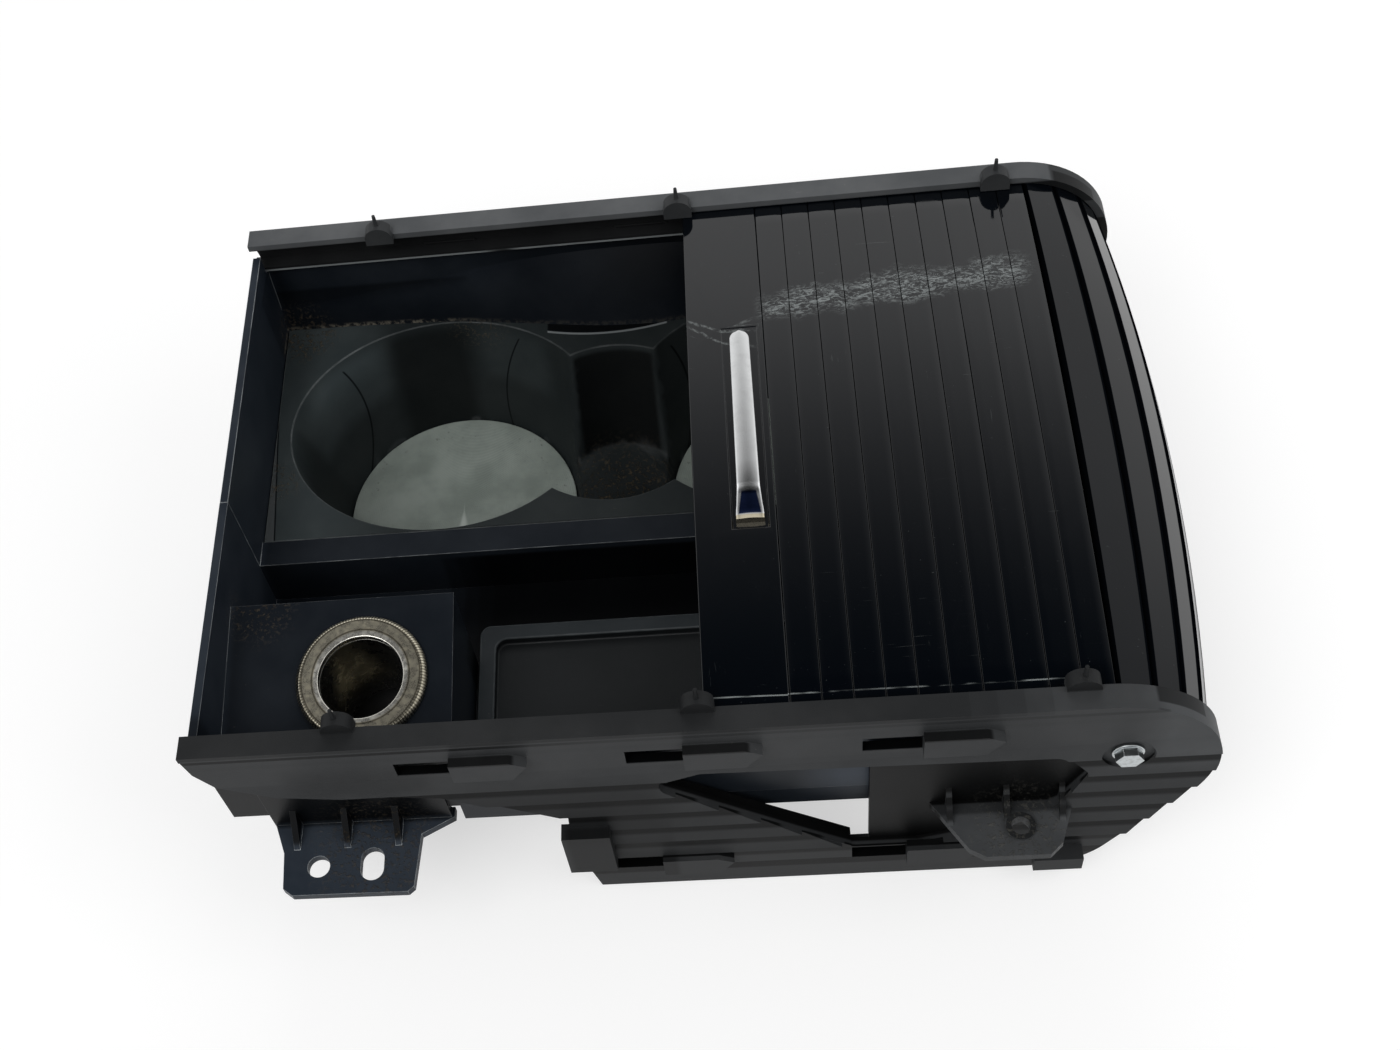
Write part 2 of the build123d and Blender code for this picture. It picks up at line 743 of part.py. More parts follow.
with BuildPart() as socket_contact:
    with BuildSketch(socket_plane.offset(body_top)):
        Circle(contact_r)
    extrude(amount=contact_t)
    with BuildSketch(socket_plane.offset(body_top - body_floor - pin_out)):
        Circle(pin_r)
    extrude(amount=body_floor + pin_out)
socket_contact.part.label = "socket_contact"
export_step(socket_contact.part, "parts/socket_contact.step")

tube_z = rail_top - tube_drop
tube_x = bend_x + tube_in
with BuildPart() as cross_tube:
    with BuildSketch(side(inner_y - fit_gap)):
        with Locations((tube_x, tube_z)):
            Circle(tube_r)
            Circle(bolt_r + shell_fit, mode=Mode.SUBTRACT)
    extrude(amount=2 * (inner_y - fit_gap))
cross_tube.part.label = "cross_tube"
export_step(cross_tube.part, "parts/cross_tube.step")

head_y = dimple_d - seat_gap - half_w
with BuildPart() as side_bolt_near:
    with BuildSketch(side(head_y)):
        with Locations((tube_x, tube_z)):
            Circle(washer_r)
    extrude(amount=washer_t)
    with BuildSketch(side(head_y - washer_t + seat_gap)):
        with Locations((tube_x, tube_z)):
            RegularPolygon(bolt_head_w / 2, 6, major_radius=False)
    extrude(amount=bolt_head_h)
    with BuildSketch(side(head_y + bolt_len)):
        with Locations((tube_x, tube_z)):
            Circle(bolt_r)
    extrude(amount=bolt_len + washer_t / 2)
side_bolt_near.part.label = "side_bolt_near"
export_step(side_bolt_near.part, "parts/side_bolt_near.step")

with BuildPart() as side_bolt_far:
    mirror(side_bolt_near.part, about=Plane.XZ)
side_bolt_far.part.label = "side_bolt_far"
export_step(side_bolt_far.part, "parts/side_bolt_far.step")
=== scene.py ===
import json
from math import asin, atan2, cos, pi, radians, sin
from random import Random

import bmesh
import bpy
from mathutils import Matrix, Vector


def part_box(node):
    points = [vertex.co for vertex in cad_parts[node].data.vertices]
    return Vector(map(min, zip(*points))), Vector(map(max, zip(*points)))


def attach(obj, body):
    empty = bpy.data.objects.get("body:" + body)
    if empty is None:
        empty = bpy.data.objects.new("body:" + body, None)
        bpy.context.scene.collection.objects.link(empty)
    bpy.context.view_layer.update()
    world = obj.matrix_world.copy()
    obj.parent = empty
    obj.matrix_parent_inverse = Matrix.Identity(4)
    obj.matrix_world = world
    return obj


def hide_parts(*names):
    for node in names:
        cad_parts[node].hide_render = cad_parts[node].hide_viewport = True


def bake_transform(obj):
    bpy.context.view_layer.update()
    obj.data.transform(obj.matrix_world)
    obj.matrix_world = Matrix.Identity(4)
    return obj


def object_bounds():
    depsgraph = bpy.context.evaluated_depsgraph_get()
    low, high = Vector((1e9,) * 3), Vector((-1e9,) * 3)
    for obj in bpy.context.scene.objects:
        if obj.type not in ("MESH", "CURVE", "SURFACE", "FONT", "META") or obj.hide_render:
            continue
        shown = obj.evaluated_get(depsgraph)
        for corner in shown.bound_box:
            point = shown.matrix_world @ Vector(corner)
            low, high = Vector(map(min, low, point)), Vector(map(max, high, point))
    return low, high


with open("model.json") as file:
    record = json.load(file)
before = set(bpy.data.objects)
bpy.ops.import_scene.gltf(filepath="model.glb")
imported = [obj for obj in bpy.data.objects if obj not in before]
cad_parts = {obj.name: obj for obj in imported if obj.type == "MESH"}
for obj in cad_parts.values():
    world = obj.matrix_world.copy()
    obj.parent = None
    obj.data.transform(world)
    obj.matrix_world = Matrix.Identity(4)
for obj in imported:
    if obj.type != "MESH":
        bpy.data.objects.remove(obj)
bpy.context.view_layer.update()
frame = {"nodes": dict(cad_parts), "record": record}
scene = bpy.context.scene
mm = 0.001
print("frame loaded:", len(frame["nodes"]), "nodes")


# one socket of a material, with the operators that the finishes use
class Wire:
    def __init__(self, finish, socket):
        self.finish = finish
        self.socket = socket

    def maths(self, kind, first, second=0.0):
        return self.finish.node("ShaderNodeMath", {"operation": kind}, {0: first, 1: second})

    def __add__(self, other):
        return self.maths("ADD", self, other)

    def __radd__(self, other):
        return self.maths("ADD", other, self)

    def __sub__(self, other):
        return self.maths("SUBTRACT", self, other)

    def __rsub__(self, other):
        return self.maths("SUBTRACT", other, self)

    def __mul__(self, other):
        return self.maths("MULTIPLY", self, other)

    def __rmul__(self, other):
        return self.maths("MULTIPLY", other, self)

    def __truediv__(self, other):
        return self.maths("DIVIDE", self, other)

    def __rtruediv__(self, other):
        return self.maths("DIVIDE", other, self)

    def atLeast(self, other):
        return self.maths("MAXIMUM", self, other)

    def atMost(self, other):
        return self.maths("MINIMUM", self, other)

    def size(self):   # without its sign
        return self.maths("ABSOLUTE", self)

    def fraction(self):
        return self.maths("FRACT", self)

    def sine(self):
        return self.maths("SINE", self)

    def root(self):
        return self.maths("SQRT", self)

    def turn(self, other):   # angle whose tangent is this over the other
        return self.maths("ARCTAN2", self, other)

    def step(self, low, high):   # smooth 0 to 1 between low and high
        return self.finish.node("ShaderNodeMapRange", {"interpolation_type": "SMOOTHSTEP"},
                                {"Value": self, "From Min": low, "From Max": high})

    def fall(self, low, high):   # smooth 1 to 0 between low and high
        return 1 - self.step(low, high)

    def near(self, inner, outer):   # 1 close to zero, 0 from outer on
        return self.size().fall(inner, outer)

    def mix(self, first, second):   # colours mixed by this value
        return self.finish.node("ShaderNodeMix", {"data_type": "RGBA"}, {0: self, 6: first, 7: second}, 2)

    def other(self, name):   # another output of the same node
        return Wire(self.finish, self.socket.node.outputs[name])


# a node tree with one method for its nodes
class Finish:
    def __init__(self, name, tree=None):
        if tree is None:
            self.material = bpy.data.materials.new(name)
            self.material.use_nodes = True
            tree = self.material.node_tree
            self.shader = tree.nodes["Principled BSDF"]
        self.tree = tree

    def node(self, kind, settings=None, sockets=None, out=0):
        made = self.tree.nodes.new(kind)
        for key, value in (settings or {}).items():
            setattr(made, key, value)
        for key, value in (sockets or {}).items():
            self.feed(made.inputs[key], value)
        return Wire(self, made.outputs[out])

    def feed(self, socket, value):
        if isinstance(value, Wire):
            self.tree.links.new(value.socket, socket)
        elif socket.type == "RGBA" and len(value) == 3:
            socket.default_value = (*value, 1)
        else:
            socket.default_value = value

    def set(self, **values):   # sockets of the main shader, by name with the spaces left out
        for socket in self.shader.inputs:
            key = socket.name.replace(" ", "")
            key = key[0].lower() + key[1:]
            if key in values:
                self.feed(socket, values.pop(key))
        assert not values, values
        return self.material

    def place(self):   # where a point is, in millimetres of the part
        spot = self.node("ShaderNodeTexCoord", out=3)
        return self.node("ShaderNodeVectorMath", {"operation": "SCALE"}, {0: spot, "Scale": 1000})

    def restPlace(self):   # the same, kept with a piece that stretches
        return self.node("ShaderNodeAttribute", {"attribute_name": "restPlace"}, out=1)

    def stretch(self, spot, factors):
        return self.node("ShaderNodeVectorMath", {"operation": "MULTIPLY"}, {0: spot, 1: factors})

    def less(self, spot, other):
        return self.node("ShaderNodeVectorMath", {"operation": "SUBTRACT"}, {0: spot, 1: other})

    def away(self, spot, centre):   # distance from a point, in mm
        return self.node("ShaderNodeVectorMath", {"operation": "DISTANCE"}, {0: spot, 1: centre}, 1)

    def split(self, spot):
        cut = self.node("ShaderNodeSeparateXYZ", {}, {0: spot})
        return [cut.other(axis) for axis in range(3)]

    def grain(self, spot, size, detail=2.0, roughness=0.5, distortion=0.0):   # noise, lumps of that size in mm
        return self.node("ShaderNodeTexNoise", {}, {"Vector": spot, "Scale": 1 / size, "Detail": detail,
                                                    "Roughness": roughness, "Distortion": distortion})

    def eased(self):   # 1 on the eased edges of a moulding
        return self.node("ShaderNodeAttribute", {"attribute_name": "eased"}, out=2)

    def facingUp(self):
        return self.split(self.node("ShaderNodeNewGeometry", out=1))[2]

    def bump(self, height):
        return self.node("ShaderNodeBump", {}, {"Height": height, "Distance": mm, "Strength": 1.0})


# moulded plastics: colours are linear, grain and dust sizes in mm; edge is the colour of the painted highlight,
# partly wear, on the eased edges
mouldings = {
    "frame_plastic": dict(dark=(0.034, 0.036, 0.038), pale=(0.051, 0.053, 0.055), edge=(0.075, 0.078, 0.08),
                          rough=(0.42, 0.58), shine=0.09, grain=0.32, relief=0.03, soil=(0.12, 0.115, 0.1),
                          dust=(0.13, 0.125, 0.115), dustShare=0.4, specks=0.72),
    "tub_plastic": dict(dark=(0.0065, 0.0088, 0.0125), pale=(0.0125, 0.0155, 0.02), edge=(0.15, 0.16, 0.165),
                        rough=(0.3, 0.44), shine=0.1, grain=0.4, relief=0.012, soil=(0.085, 0.068, 0.048),
                        dust=(0.12, 0.105, 0.085), dustShare=0.28, specks=0.74),
    "insert_plastic": dict(dark=(0.0135, 0.017, 0.018), pale=(0.021, 0.025, 0.0255), edge=(0.05, 0.055, 0.056),
                           rough=(0.44, 0.58), shine=0.12, grain=0.3, relief=0.025, soil=(0.1, 0.078, 0.05),
                           dust=(0.11, 0.1, 0.08), dustShare=0.3, specks=0.73),
    "storage_panel": dict(dark=(0.008, 0.0105, 0.012), pale=(0.0135, 0.016, 0.018), edge=(0.03, 0.034, 0.036),
                          rough=(0.5, 0.62), shine=0.3, grain=0.45, relief=0.03, soil=(0.08, 0.07, 0.05),
                          dust=(0.1, 0.095, 0.085), dustShare=0.3, specks=0.74),
    "socket_plastic": dict(dark=(0.01, 0.01, 0.0105), pale=(0.017, 0.017, 0.018), edge=(0.03, 0.03, 0.03),
                           rough=(0.45, 0.6), shine=0.35, grain=0.4, relief=0.02, soil=(0.08, 0.07, 0.05),
                           dust=(0.1, 0.09, 0.075), dustShare=0.2, specks=0.76),
}
# what all mouldings share: lump sizes in mm, and the noise levels between which each mark shows
grime = dict(cloud=26, speck=0.8, speckSoft=0.06, lint=1.3, lintShape=(0.35, 1.3, 1.3), crumb=1.1, rub=7,
             lintShows=(0.72, 0.78), patches=(0.42, 0.66), mottle=(0.3, 0.75), crumbShows=(0.52, 0.64),
             rubShows=(0.35, 0.65), level=(0.25, 0.95), roughest=0.9)
# dirt that has gathered in corners: centre in mm, reach in mm, strength
dirtSpots = {
    "frame_plastic": [((75, -90, 36), 16, 0.55), ((-84, -90, 36), 14, 0.4)],
    "tub_plastic": [((-109, -33, 64), 13, 0.8), ((-112, 74, 50), 12, 0.8), ((-82, -88, 36), 22, 0.6)],
    "insert_plastic": [((-112, 74, 49), 15, 1.0), ((-21, 28, 18), 24, 0.9), ((-60, 70, 49), 12, 0.5),
                       ((-114, 20, 49), 9, 0.6)],
    "storage_panel": [],
    "socket_plastic": [],
}
# painted light and shade, standing in for how light falls: ranges along x, y and z in mm, softness in mm, factor on
# the colour
everywhere = (-300, 300)
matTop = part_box("storage_mat")[1].z / mm
paintedLightPlaces = {
    "frame_plastic": [
        (everywhere, everywhere, (-20, 52), 9, 0.7),   # painted shade on the lower half
        ((-62, -8), (-95, -70), (36, 60), 6, 0.6),   # darker along the slanting lower edge
        (everywhere, (-81.6, -76), (14, 66), 0.3, 0.08),   # painted shade in the sunk panels
        (everywhere, (76, 81.6), (14, 66), 0.3, 0.08),
        (everywhere, (76.2, 80.8), (73, 81.9), 0.2, 0.25),   # painted shade in the channels under the rails
        (everywhere, (-80.8, -76.2), (73, 81.9), 0.2, 0.25),
        (everywhere, (-88, -83.2), (77.3, 79), 0.3, 0.2),   # painted shade on the tops of the tongues
        (everywhere, (83.2, 88), (77.3, 79), 0.3, 0.2),
        (everywhere, (76.8, 84), (82.2, 86), 0.2, 2.2),   # painted light on the top of the far rail
        ((-97, -62), (-84, -80), (61, 74), 4, 0.6),   # painted shade before the first slot
        ((40, 105), (-102, -84.4), (37, 62), 0.6, 0.3),   # brackets: painted shade on the ribs, painted light on the near plate
        ((40, 105), (-102, -84.4), (30, 37), 0.6, 2.1),
        ((40, 105), (84.4, 102), (37, 62), 0.6, 0.3),
        ((-34, -8), (-96, -83.9), (6, 40), 1.0, 0.45),   # darker block at the lower left corner
        ((-130, -60), (-84, -77), (50, 57), 2.5, 0.45),   # painted shade above the front foot
        (everywhere, (-90, -70), (84.4, 99), 0.3, 0.45),   # painted shade on the clips of the near rail
        ((103, 125), (-90, -76), (58, 90), 6, 1.8),   # painted light on the round end of the near rail
        *[((-140, 62 + 6 * i), (-90, -75.5), (82.6, 84.35), 0.25, 0.84) for i in range(4)],   # painted shade on its top
        ((85, 130), (-88, -82.3), (28, 58), 7, 1.4),   # painted light on the bands at the bend
    ],
    "tub_plastic": [
        ((-130, -115.6), (-70, 90), (20, 90), 1.5, 2.0),   # painted light on the end wall
        *[((-67 + 4 * i, 130), (-40, -6.6), (28, 47), 0.8, 0.59) for i in range(4)],   # shade under the ridge
        ((-130, -60), (-98, -74), (37.3, 64), 0.8, 0.15),   # painted shade on the walls over the front feet
        ((-130, -60), (77, 98), (37.3, 64), 0.8, 0.3),
        (everywhere, (64, 81), (49.2, 74), 0.2, 0.65),   # painted shade on the far wall
        ((30, 90), (-79, -75), (38, 70), 9, 10.0),   # painted light on the wall behind the near window
        ((-130, -60), (-98, -79), (30, 37), 0.6, 3.0),   # painted light on the plate of the near front foot
        ((-115, -50), (60, 95), (58, 90), 9, 1.6),   # far wall: painted light at the left and painted shade at the right
        ((-20, 25), (60, 95), (58, 90), 9, 0.55),
    ],
    "insert_plastic": [
        ((-130, -93), everywhere, (47, 52), 14, 4.2),   # painted light on the left end of the plate
        ((-108, -88), (40, 75), (30, 47.5), 3.5, 2.1),   # far wall of the left cup: painted light, shade and light
        ((-86, -64), (40, 80), (12, 47.5), 3.0, 0.45),
        ((-60, -40), (40, 75), (30, 47.5), 3.5, 1.7),
        ((-31.5, -9), everywhere, (18.6, 47.5), 0.8, 0.2),   # painted shade in the middle well
        ((-112, -40), (-10, 40), (12, 47.5), 2, 0.75),   # painted shade on the near wall of the left cup
    ],
    "storage_panel": [
        (everywhere, everywhere, (matTop - 0.4, matTop + 9), 0.05, 2.0),   # painted light on the raised border, painted shade below it
        (everywhere, everywhere, (matTop - 9, matTop - 0.4), 0.05, 0.7),
    ],
    "socket_plastic": [],
}


def paintLightAndShade(f, spot, colour, places):   # painted light and shade: the colour, lighter or darker in some places
    level = 1.0
    for *ranges, soft, factor in places:
        share = 1.0
        for axis, (low, high) in zip(f.split(spot), ranges):
            if (low, high) != everywhere:
                share = axis.step(low - soft, low + soft) * axis.fall(high - soft, high + soft) * share
        level = (1 + (factor - 1) * share) * level
    return f.node("ShaderNodeVectorMath", {"operation": "SCALE"}, {0: colour, "Scale": level})


# moulding seams down the far walls of the cups: x and height where each turns, and how strongly it bends
cupSeams = dict(turns=[(-95.4, 26.0, -0.011), (-54.7, 19.0, 0.0101)], pitch=96.0, behind=44.0, half=0.3, top=45.0)


def seams(f, spot):
    x, y, z = f.split(spot)
    lines = 0.0
    for turnX, turnZ, bend in cupSeams["turns"]:
        for shift in (0, cupSeams["pitch"]):
            off = x - (turnX + shift) - bend * (z - turnZ) * (z - turnZ)
            lines = off.near(cupSeams["half"] * 0.4, cupSeams["half"]) + lines
    lines = lines.atMost(1) * y.step(cupSeams["behind"], cupSeams["behind"] + 2)
    return lines * z.fall(cupSeams["top"], cupSeams["top"] + 1)


# edge of the tub's ledge beside the insert: x at its near end, lean, and the side that is paler
ledge = dict(x=-113.3, lean=-0.067, half=0.28, top=(48, 48.8), pale=(0.028, 0.03, 0.031), paleShare=0.7,
             dark=(0.0015, 0.002, 0.0025))
# finger notch at the insert's far edge, with painted shade inside: middle, half length and depth, in mm, and its lip
# with a painted highlight
fingerNotch = dict(x=-21.5, half=17.5, y=67.2, deep=2.2, lip=0.35, pale=(0.2, 0.215, 0.22), paleShare=0.8)


def insertMarks(f, spot, colour):
    x, y, z = f.split(spot)
    top = z.step(*ledge["top"])
    off = x - (ledge["x"] + ledge["lean"] * y)
    colour = (off.fall(-0.2, 0.2) * top * ledge["paleShare"]).mix(colour, ledge["pale"])
    gap = off.near(ledge["half"] * 0.5, ledge["half"]) * top
    across = (x - fingerNotch["x"]) / fingerNotch["half"]
    off = y - fingerNotch["y"] + (1 - across * across) * fingerNotch["deep"]
    inside = across.near(0.97, 1.0) * top
    # painted shade inside the finger notch
    gap = gap.atLeast(off.step(-0.1, 0.2) * inside)
    # painted highlight along the notch's lip
    lip = (off + fingerNotch["lip"]).near(0.2, 0.5) * inside * fingerNotch["paleShare"]
    colour = lip.mix(colour, fingerNotch["pale"])
    return gap.atLeast(seams(f, spot)).mix(colour, ledge["dark"])


# bands of the side frames: first drop below the rails, pitch, share in painted shade, painted shadow line under the
# rail, in mm
bands = dict(top=84.0, first=23.5, pitch=8.3, count=6, shade=(0.4, 0.58), wall=82.4, outer=84.3, rail=2.6,
             railHalf=0.8, railFades=(-60, -10), dark=(0.0015, 0.0018, 0.002), darkShare=0.92)


def bandMarks(f, spot, colour):   # painted shade under the step of each band, and a painted shadow line under the rail
    x, y, z = f.split(spot)
    start = bands["top"] - bands["first"]
    end = start - bands["count"] * bands["pitch"]
    part = ((start - z) / bands["pitch"]).fraction()
    shade = part.fall(*bands["shade"]) * z.fall(start, start + 0.1) * z.step(end - 4, end - 3)
    line = (z - (bands["top"] - bands["rail"])).near(bands["railHalf"] * 0.5, bands["railHalf"])
    line = line * (1 - 0.6 * x.step(*bands["railFades"]))
    side = y.size()
    dark = shade.atLeast(line) * side.step(bands["wall"], bands["wall"] + 0.1)
    dark = dark * side.fall(bands["outer"], bands["outer"] + 0.1)
    return (dark * bands["darkShare"]).mix(colour, bands["dark"])


# clip slots of the side frames, painted black with shade inside: first x, pitch, length, count, and heights, in mm
clipSlots = dict(rows=[(-69.75, 54.0, 13.5, 3, 69.5, 75.9), (-25.25, 61.1, 13.5, 2, 10.3, 16.7)],
                 inner=79.8, outer=82.75, dark=(0.0008, 0.001, 0.0012))
# painted highlight along the lower edge of the lips under the rails, broken into streaks
lip = dict(y=76.5, z=74.2, streak=4, shape=(0.2, 1, 1), pale=(0.2, 0.215, 0.22))


def slotMarks(f, spot, colour):   # black slots with painted shade, and a painted highlight on the lips
    x, y, z = f.split(spot)
    side = y.size()
    inside = 0.0
    for first, pitch, long, count, low, high in clipSlots["rows"]:
        last = first + pitch * (count - 1) + long
        part = ((x - first + 0.1) / pitch).fraction().fall((long + 0.1) / pitch, (long + 0.2) / pitch)
        part = part * x.step(first - 0.3, first - 0.2) * x.fall(last + 1, last + 1.1)
        inside = part * z.step(low, low + 0.1) * z.fall(high, high + 0.1) + inside
    inside = inside * side.fall(clipSlots["outer"], clipSlots["outer"] + 0.1)
    inside = inside * side.step(clipSlots["inner"], clipSlots["inner"] + 0.2)
    colour = inside.mix(colour, clipSlots["dark"])
    # painted highlight on the lip's lower edge
    litLipEdge = (side - lip["y"]).near(0.25, 0.45) * (z - lip["z"]).near(0.35, 0.6)
    highlightBreaks = f.grain(f.stretch(spot, lip["shape"]), lip["streak"], 2).step(0.3, 0.5)
    return (litLipEdge * highlightBreaks).mix(colour, lip["pale"])


# dust along the foot of the tub's far wall, thinner towards the right
wallDust = dict(low=48.9, high=(49.5, 50.7), front=64, back=76.4, lump=1.5, shows=(0.42, 0.6), fades=(-85, -50),
                faded=0.85, colour=(0.12, 0.11, 0.09))


def dustMarks(f, spot, colour):
    x, y, z = f.split(spot)
    line = z.fall(*wallDust["high"]) * z.step(wallDust["low"], wallDust["low"] + 0.2)
    line = line * y.step(wallDust["front"], wallDust["front"] + 2)
    line = line * y.fall(wallDust["back"], wallDust["back"] + 0.4)
    line = line * f.grain(spot, wallDust["lump"], 4, 0.7).step(*wallDust["shows"])
    return (line * (1 - wallDust["faded"] * x.step(*wallDust["fades"]))).mix(colour, wallDust["colour"])


underDust = {"insert_plastic": insertMarks, "frame_plastic": bandMarks}
overDust = {"tub_plastic": dustMarks, "frame_plastic": slotMarks}


def mouldedPlastic(slot):
    s = mouldings[slot]
    f = Finish(slot)
    spot = f.place()
    cloud = f.grain(spot, grime["cloud"], 4, 0.6)
    speck = f.grain(spot, grime["speck"]).step(s["specks"], s["specks"] + grime["speckSoft"])
    lint = f.grain(f.stretch(spot, grime["lintShape"]), grime["lint"], 2, 0.5, 1.2).step(*grime["lintShows"])
    up = f.facingUp().step(*grime["level"])
    dust = (speck + 0.7 * lint) * (0.35 + 0.65 * up) * cloud.step(*grime["patches"])
    colour = cloud.step(*grime["mottle"]).mix(s["dark"], s["pale"])
    if slot in underDust:
        colour = underDust[slot](f, spot, colour)
    # painted highlight on the eased edges, broken up as by wear
    litAndWornEdges = f.eased() * (0.35 + 0.65 * f.grain(spot, grime["rub"], 3, 0.6).step(*grime["rubShows"]))
    colour = (litAndWornEdges * 0.8).mix(colour, s["edge"])
    colour = (dust * s["dustShare"]).mix(colour, s["dust"])
    # painted light and shade in the listed places
    if paintedLightPlaces[slot]:
        colour = paintLightAndShade(f, spot, colour, paintedLightPlaces[slot])
    if slot in overDust:
        colour = overDust[slot](f, spot, colour)
    rough = s["rough"][0] + (s["rough"][1] - s["rough"][0]) * cloud + 0.2 * dust - 0.12 * litAndWornEdges
    height = f.grain(spot, s["grain"], 3, 0.6) * s["relief"]
    dirt = 0.0
    for centre, reach, strength in dirtSpots[slot]:
        close = f.away(spot, centre).fall(reach * 0.25, reach)
        crumbs = f.grain(spot, grime["crumb"], 4, 0.7).step(*grime["crumbShows"]) * close * strength
        dirt = crumbs.atLeast(dirt)
    if dirtSpots[slot]:
        colour = (dirt * 0.75).mix(colour, s["soil"])
        rough = rough + 0.35 * dirt
        height = height + 0.25 * dirt
    return f.set(baseColor=colour, roughness=rough.atMost(grime["roughest"]), specularIORLevel=s["shine"],
                 normal=f.bump(height))


# bow of the cover's slats: rise in the middle, half length and bend in mm, gaps on the bend in radians
bow = dict(rise=5.4, half=80.0, bendX=92.25, bendZ=57.0, turn=radians(118), fade=(10, 36), cuts=16,
           firstGap=0.094, gapPitch=0.3373, gapHalf=0.0343, gapGrowth=0.031)
# piano-black slats: scuff band, streaks, a painted highlight line beside the near rail and finger smears, in mm;
# a hair has its shape, size, curl, showing levels, the size and levels of its patches, and its strength
gloss = dict(black=(0.001, 0.0019, 0.0034), scuff=(0.3, 0.33, 0.33), matt=(0.002, 0.0025, 0.0035), rough=0.06,
             smear=0.1, bandFrom=(20, 37.5), bandTo=(86, 44.0), bandHalf=7.0, bandLump=9, bandSway=12,
             tornShape=(0.8, 1.7, 1), torn=2.2, tornShows=(0.46, 0.6), streaks=[(35.3, -0.02), (33.0, -0.24)],
             streakX=(2, 5, 16, 22), rubbedY=-73.9, rubbedHalf=0.24, rubbedShape=(0.3, 1, 1),
             hairs=[((0.05, 1.1, 1), 0.55, 0.8, (0.7, 0.78), 18, (0.5, 0.7), 0.2),
                    ((1.0, 0.06, 1), 0.6, 0.6, (0.71, 0.78), 14, (0.52, 0.72), 0.18)],
             dulled=(60, 70), shine=0.5, bendShine=0.3)


def slatGloss(name, onBend=False):
    f = Finish(name)
    spot = f.restPlace()
    x, y, z = f.split(spot)
    (ax, ay), (bx, by) = gloss["bandFrom"], gloss["bandTo"]
    sway = (f.grain(spot, gloss["bandLump"]) - 0.5) * gloss["bandSway"]
    off = y - (ay + (by - ay) / (bx - ax) * (x - ax)) + sway
    band = off.near(gloss["bandHalf"] * 0.2, gloss["bandHalf"]) * x.step(ax, ax + 6) * x.fall(bx, bx + 8)
    torn = f.grain(f.stretch(spot, gloss["tornShape"]), gloss["torn"], 5, 0.75, 1.8)
    scuff = band * torn.step(*gloss["tornShows"])
    x0, x1, x2, x3 = gloss["streakX"]
    for startY, lean in gloss["streaks"]:   # pale streaks across the handle slat
        off = y - startY - lean * (x - 4) + (f.grain(spot, 3) - 0.5) * 1.6
        line = off.near(0.15, 0.7) * x.step(x0, x1) * x.fall(x2, x3)
        scuff = scuff.atLeast(line * f.grain(spot, 1.2, 3, 0.7).step(0.38, 0.6) * 0.6)
    if not onBend:   # painted highlight: thin pale line beside the near rail
        line = (y - gloss["rubbedY"]).near(gloss["rubbedHalf"] * 0.4, gloss["rubbedHalf"])
        scuff = scuff.atLeast(line * f.grain(f.stretch(spot, gloss["rubbedShape"]), 4, 3, 0.6).step(0.42, 0.58))
    marks = scuff
    for shape, size, curl, shows, patch, patchShows, strength in gloss["hairs"]:
        hair = f.grain(f.stretch(spot, shape), size, 2, 0.5, curl).step(*shows)
        marks = marks + strength * (hair * f.grain(spot, patch).step(*patchShows))
    speck = f.grain(spot, 0.7).step(0.73, 0.79) * f.grain(spot, 30).step(0.4, 0.65)
    marks = (marks + 0.25 * speck).atMost(1)
    smear = f.grain(f.stretch(spot, (1, 0.5, 1)), 16, 4, 0.6, 1.0).step(0.45, 0.75)
    colour = (marks * 0.6).mix(gloss["black"], gloss["scuff"])
    rough = gloss["rough"] + gloss["smear"] * smear + 0.35 * marks
    if onBend:   # painted shade: matt black edges beside the gaps, wider further round
        turned = (x - bow["bendX"]).turn(z - bow["bendZ"]) - bow["firstGap"]
        off = ((turned / bow["gapPitch"] + 0.5).fraction() - 0.5).size() * bow["gapPitch"]
        half = bow["gapHalf"] + bow["gapGrowth"] * turned
        edge = off.fall(half * 0.85, half)
        rough = rough + 0.3 * z.fall(*gloss["dulled"])
        matt = f.node("ShaderNodeBsdfDiffuse", {}, {"Color": gloss["matt"]})
        both = f.node("ShaderNodeMixShader", {}, {0: edge, 1: Wire(f, f.shader.outputs[0]), 2: matt})
        f.feed(f.tree.nodes["Material Output"].inputs["Surface"], both)
    wave = f.grain(f.stretch(spot, (0.6, 1, 1)), 22, 1, 0.4) * 0.02 + f.grain(spot, 1.2) * 0.0008 + scuff * 0.01
    return f.set(baseColor=colour, roughness=rough.atMost(0.8), normal=f.bump(wave), iOR=1.5,
                 specularIORLevel=gloss["bendShine"] if onBend else gloss["shine"])


# metals: colour, tarnish colour, roughness range, size of the stains in mm and their share
metals = {
    "handle_chrome": dict(bright=(0.68, 0.69, 0.695), dull=(0.5, 0.5, 0.5), rough=(0.14, 0.22),
                          lump=4.0, tarnish=0.25),
    "nickel": dict(bright=(0.66, 0.62, 0.5), dull=(0.36, 0.32, 0.22), rough=(0.24, 0.4), lump=2.0, tarnish=0.6),
    "socket_metal": dict(bright=(0.27, 0.265, 0.245), dull=(0.13, 0.13, 0.115), rough=(0.24, 0.4),
                         lump=3.0, tarnish=0.7),
    "contact_brass": dict(bright=(0.52, 0.45, 0.3), dull=(0.16, 0.13, 0.08), rough=(0.28, 0.45),
                          lump=1.6, tarnish=0.6),
    "tube_steel": dict(bright=(0.34, 0.34, 0.35), dull=(0.16, 0.15, 0.14), rough=(0.3, 0.45),
                       lump=5.0, tarnish=0.6),
    "zinc": dict(bright=(0.5, 0.53, 0.54), dull=(0.3, 0.31, 0.31), rough=(0.26, 0.4), lump=1.0, tarnish=0.7),
}
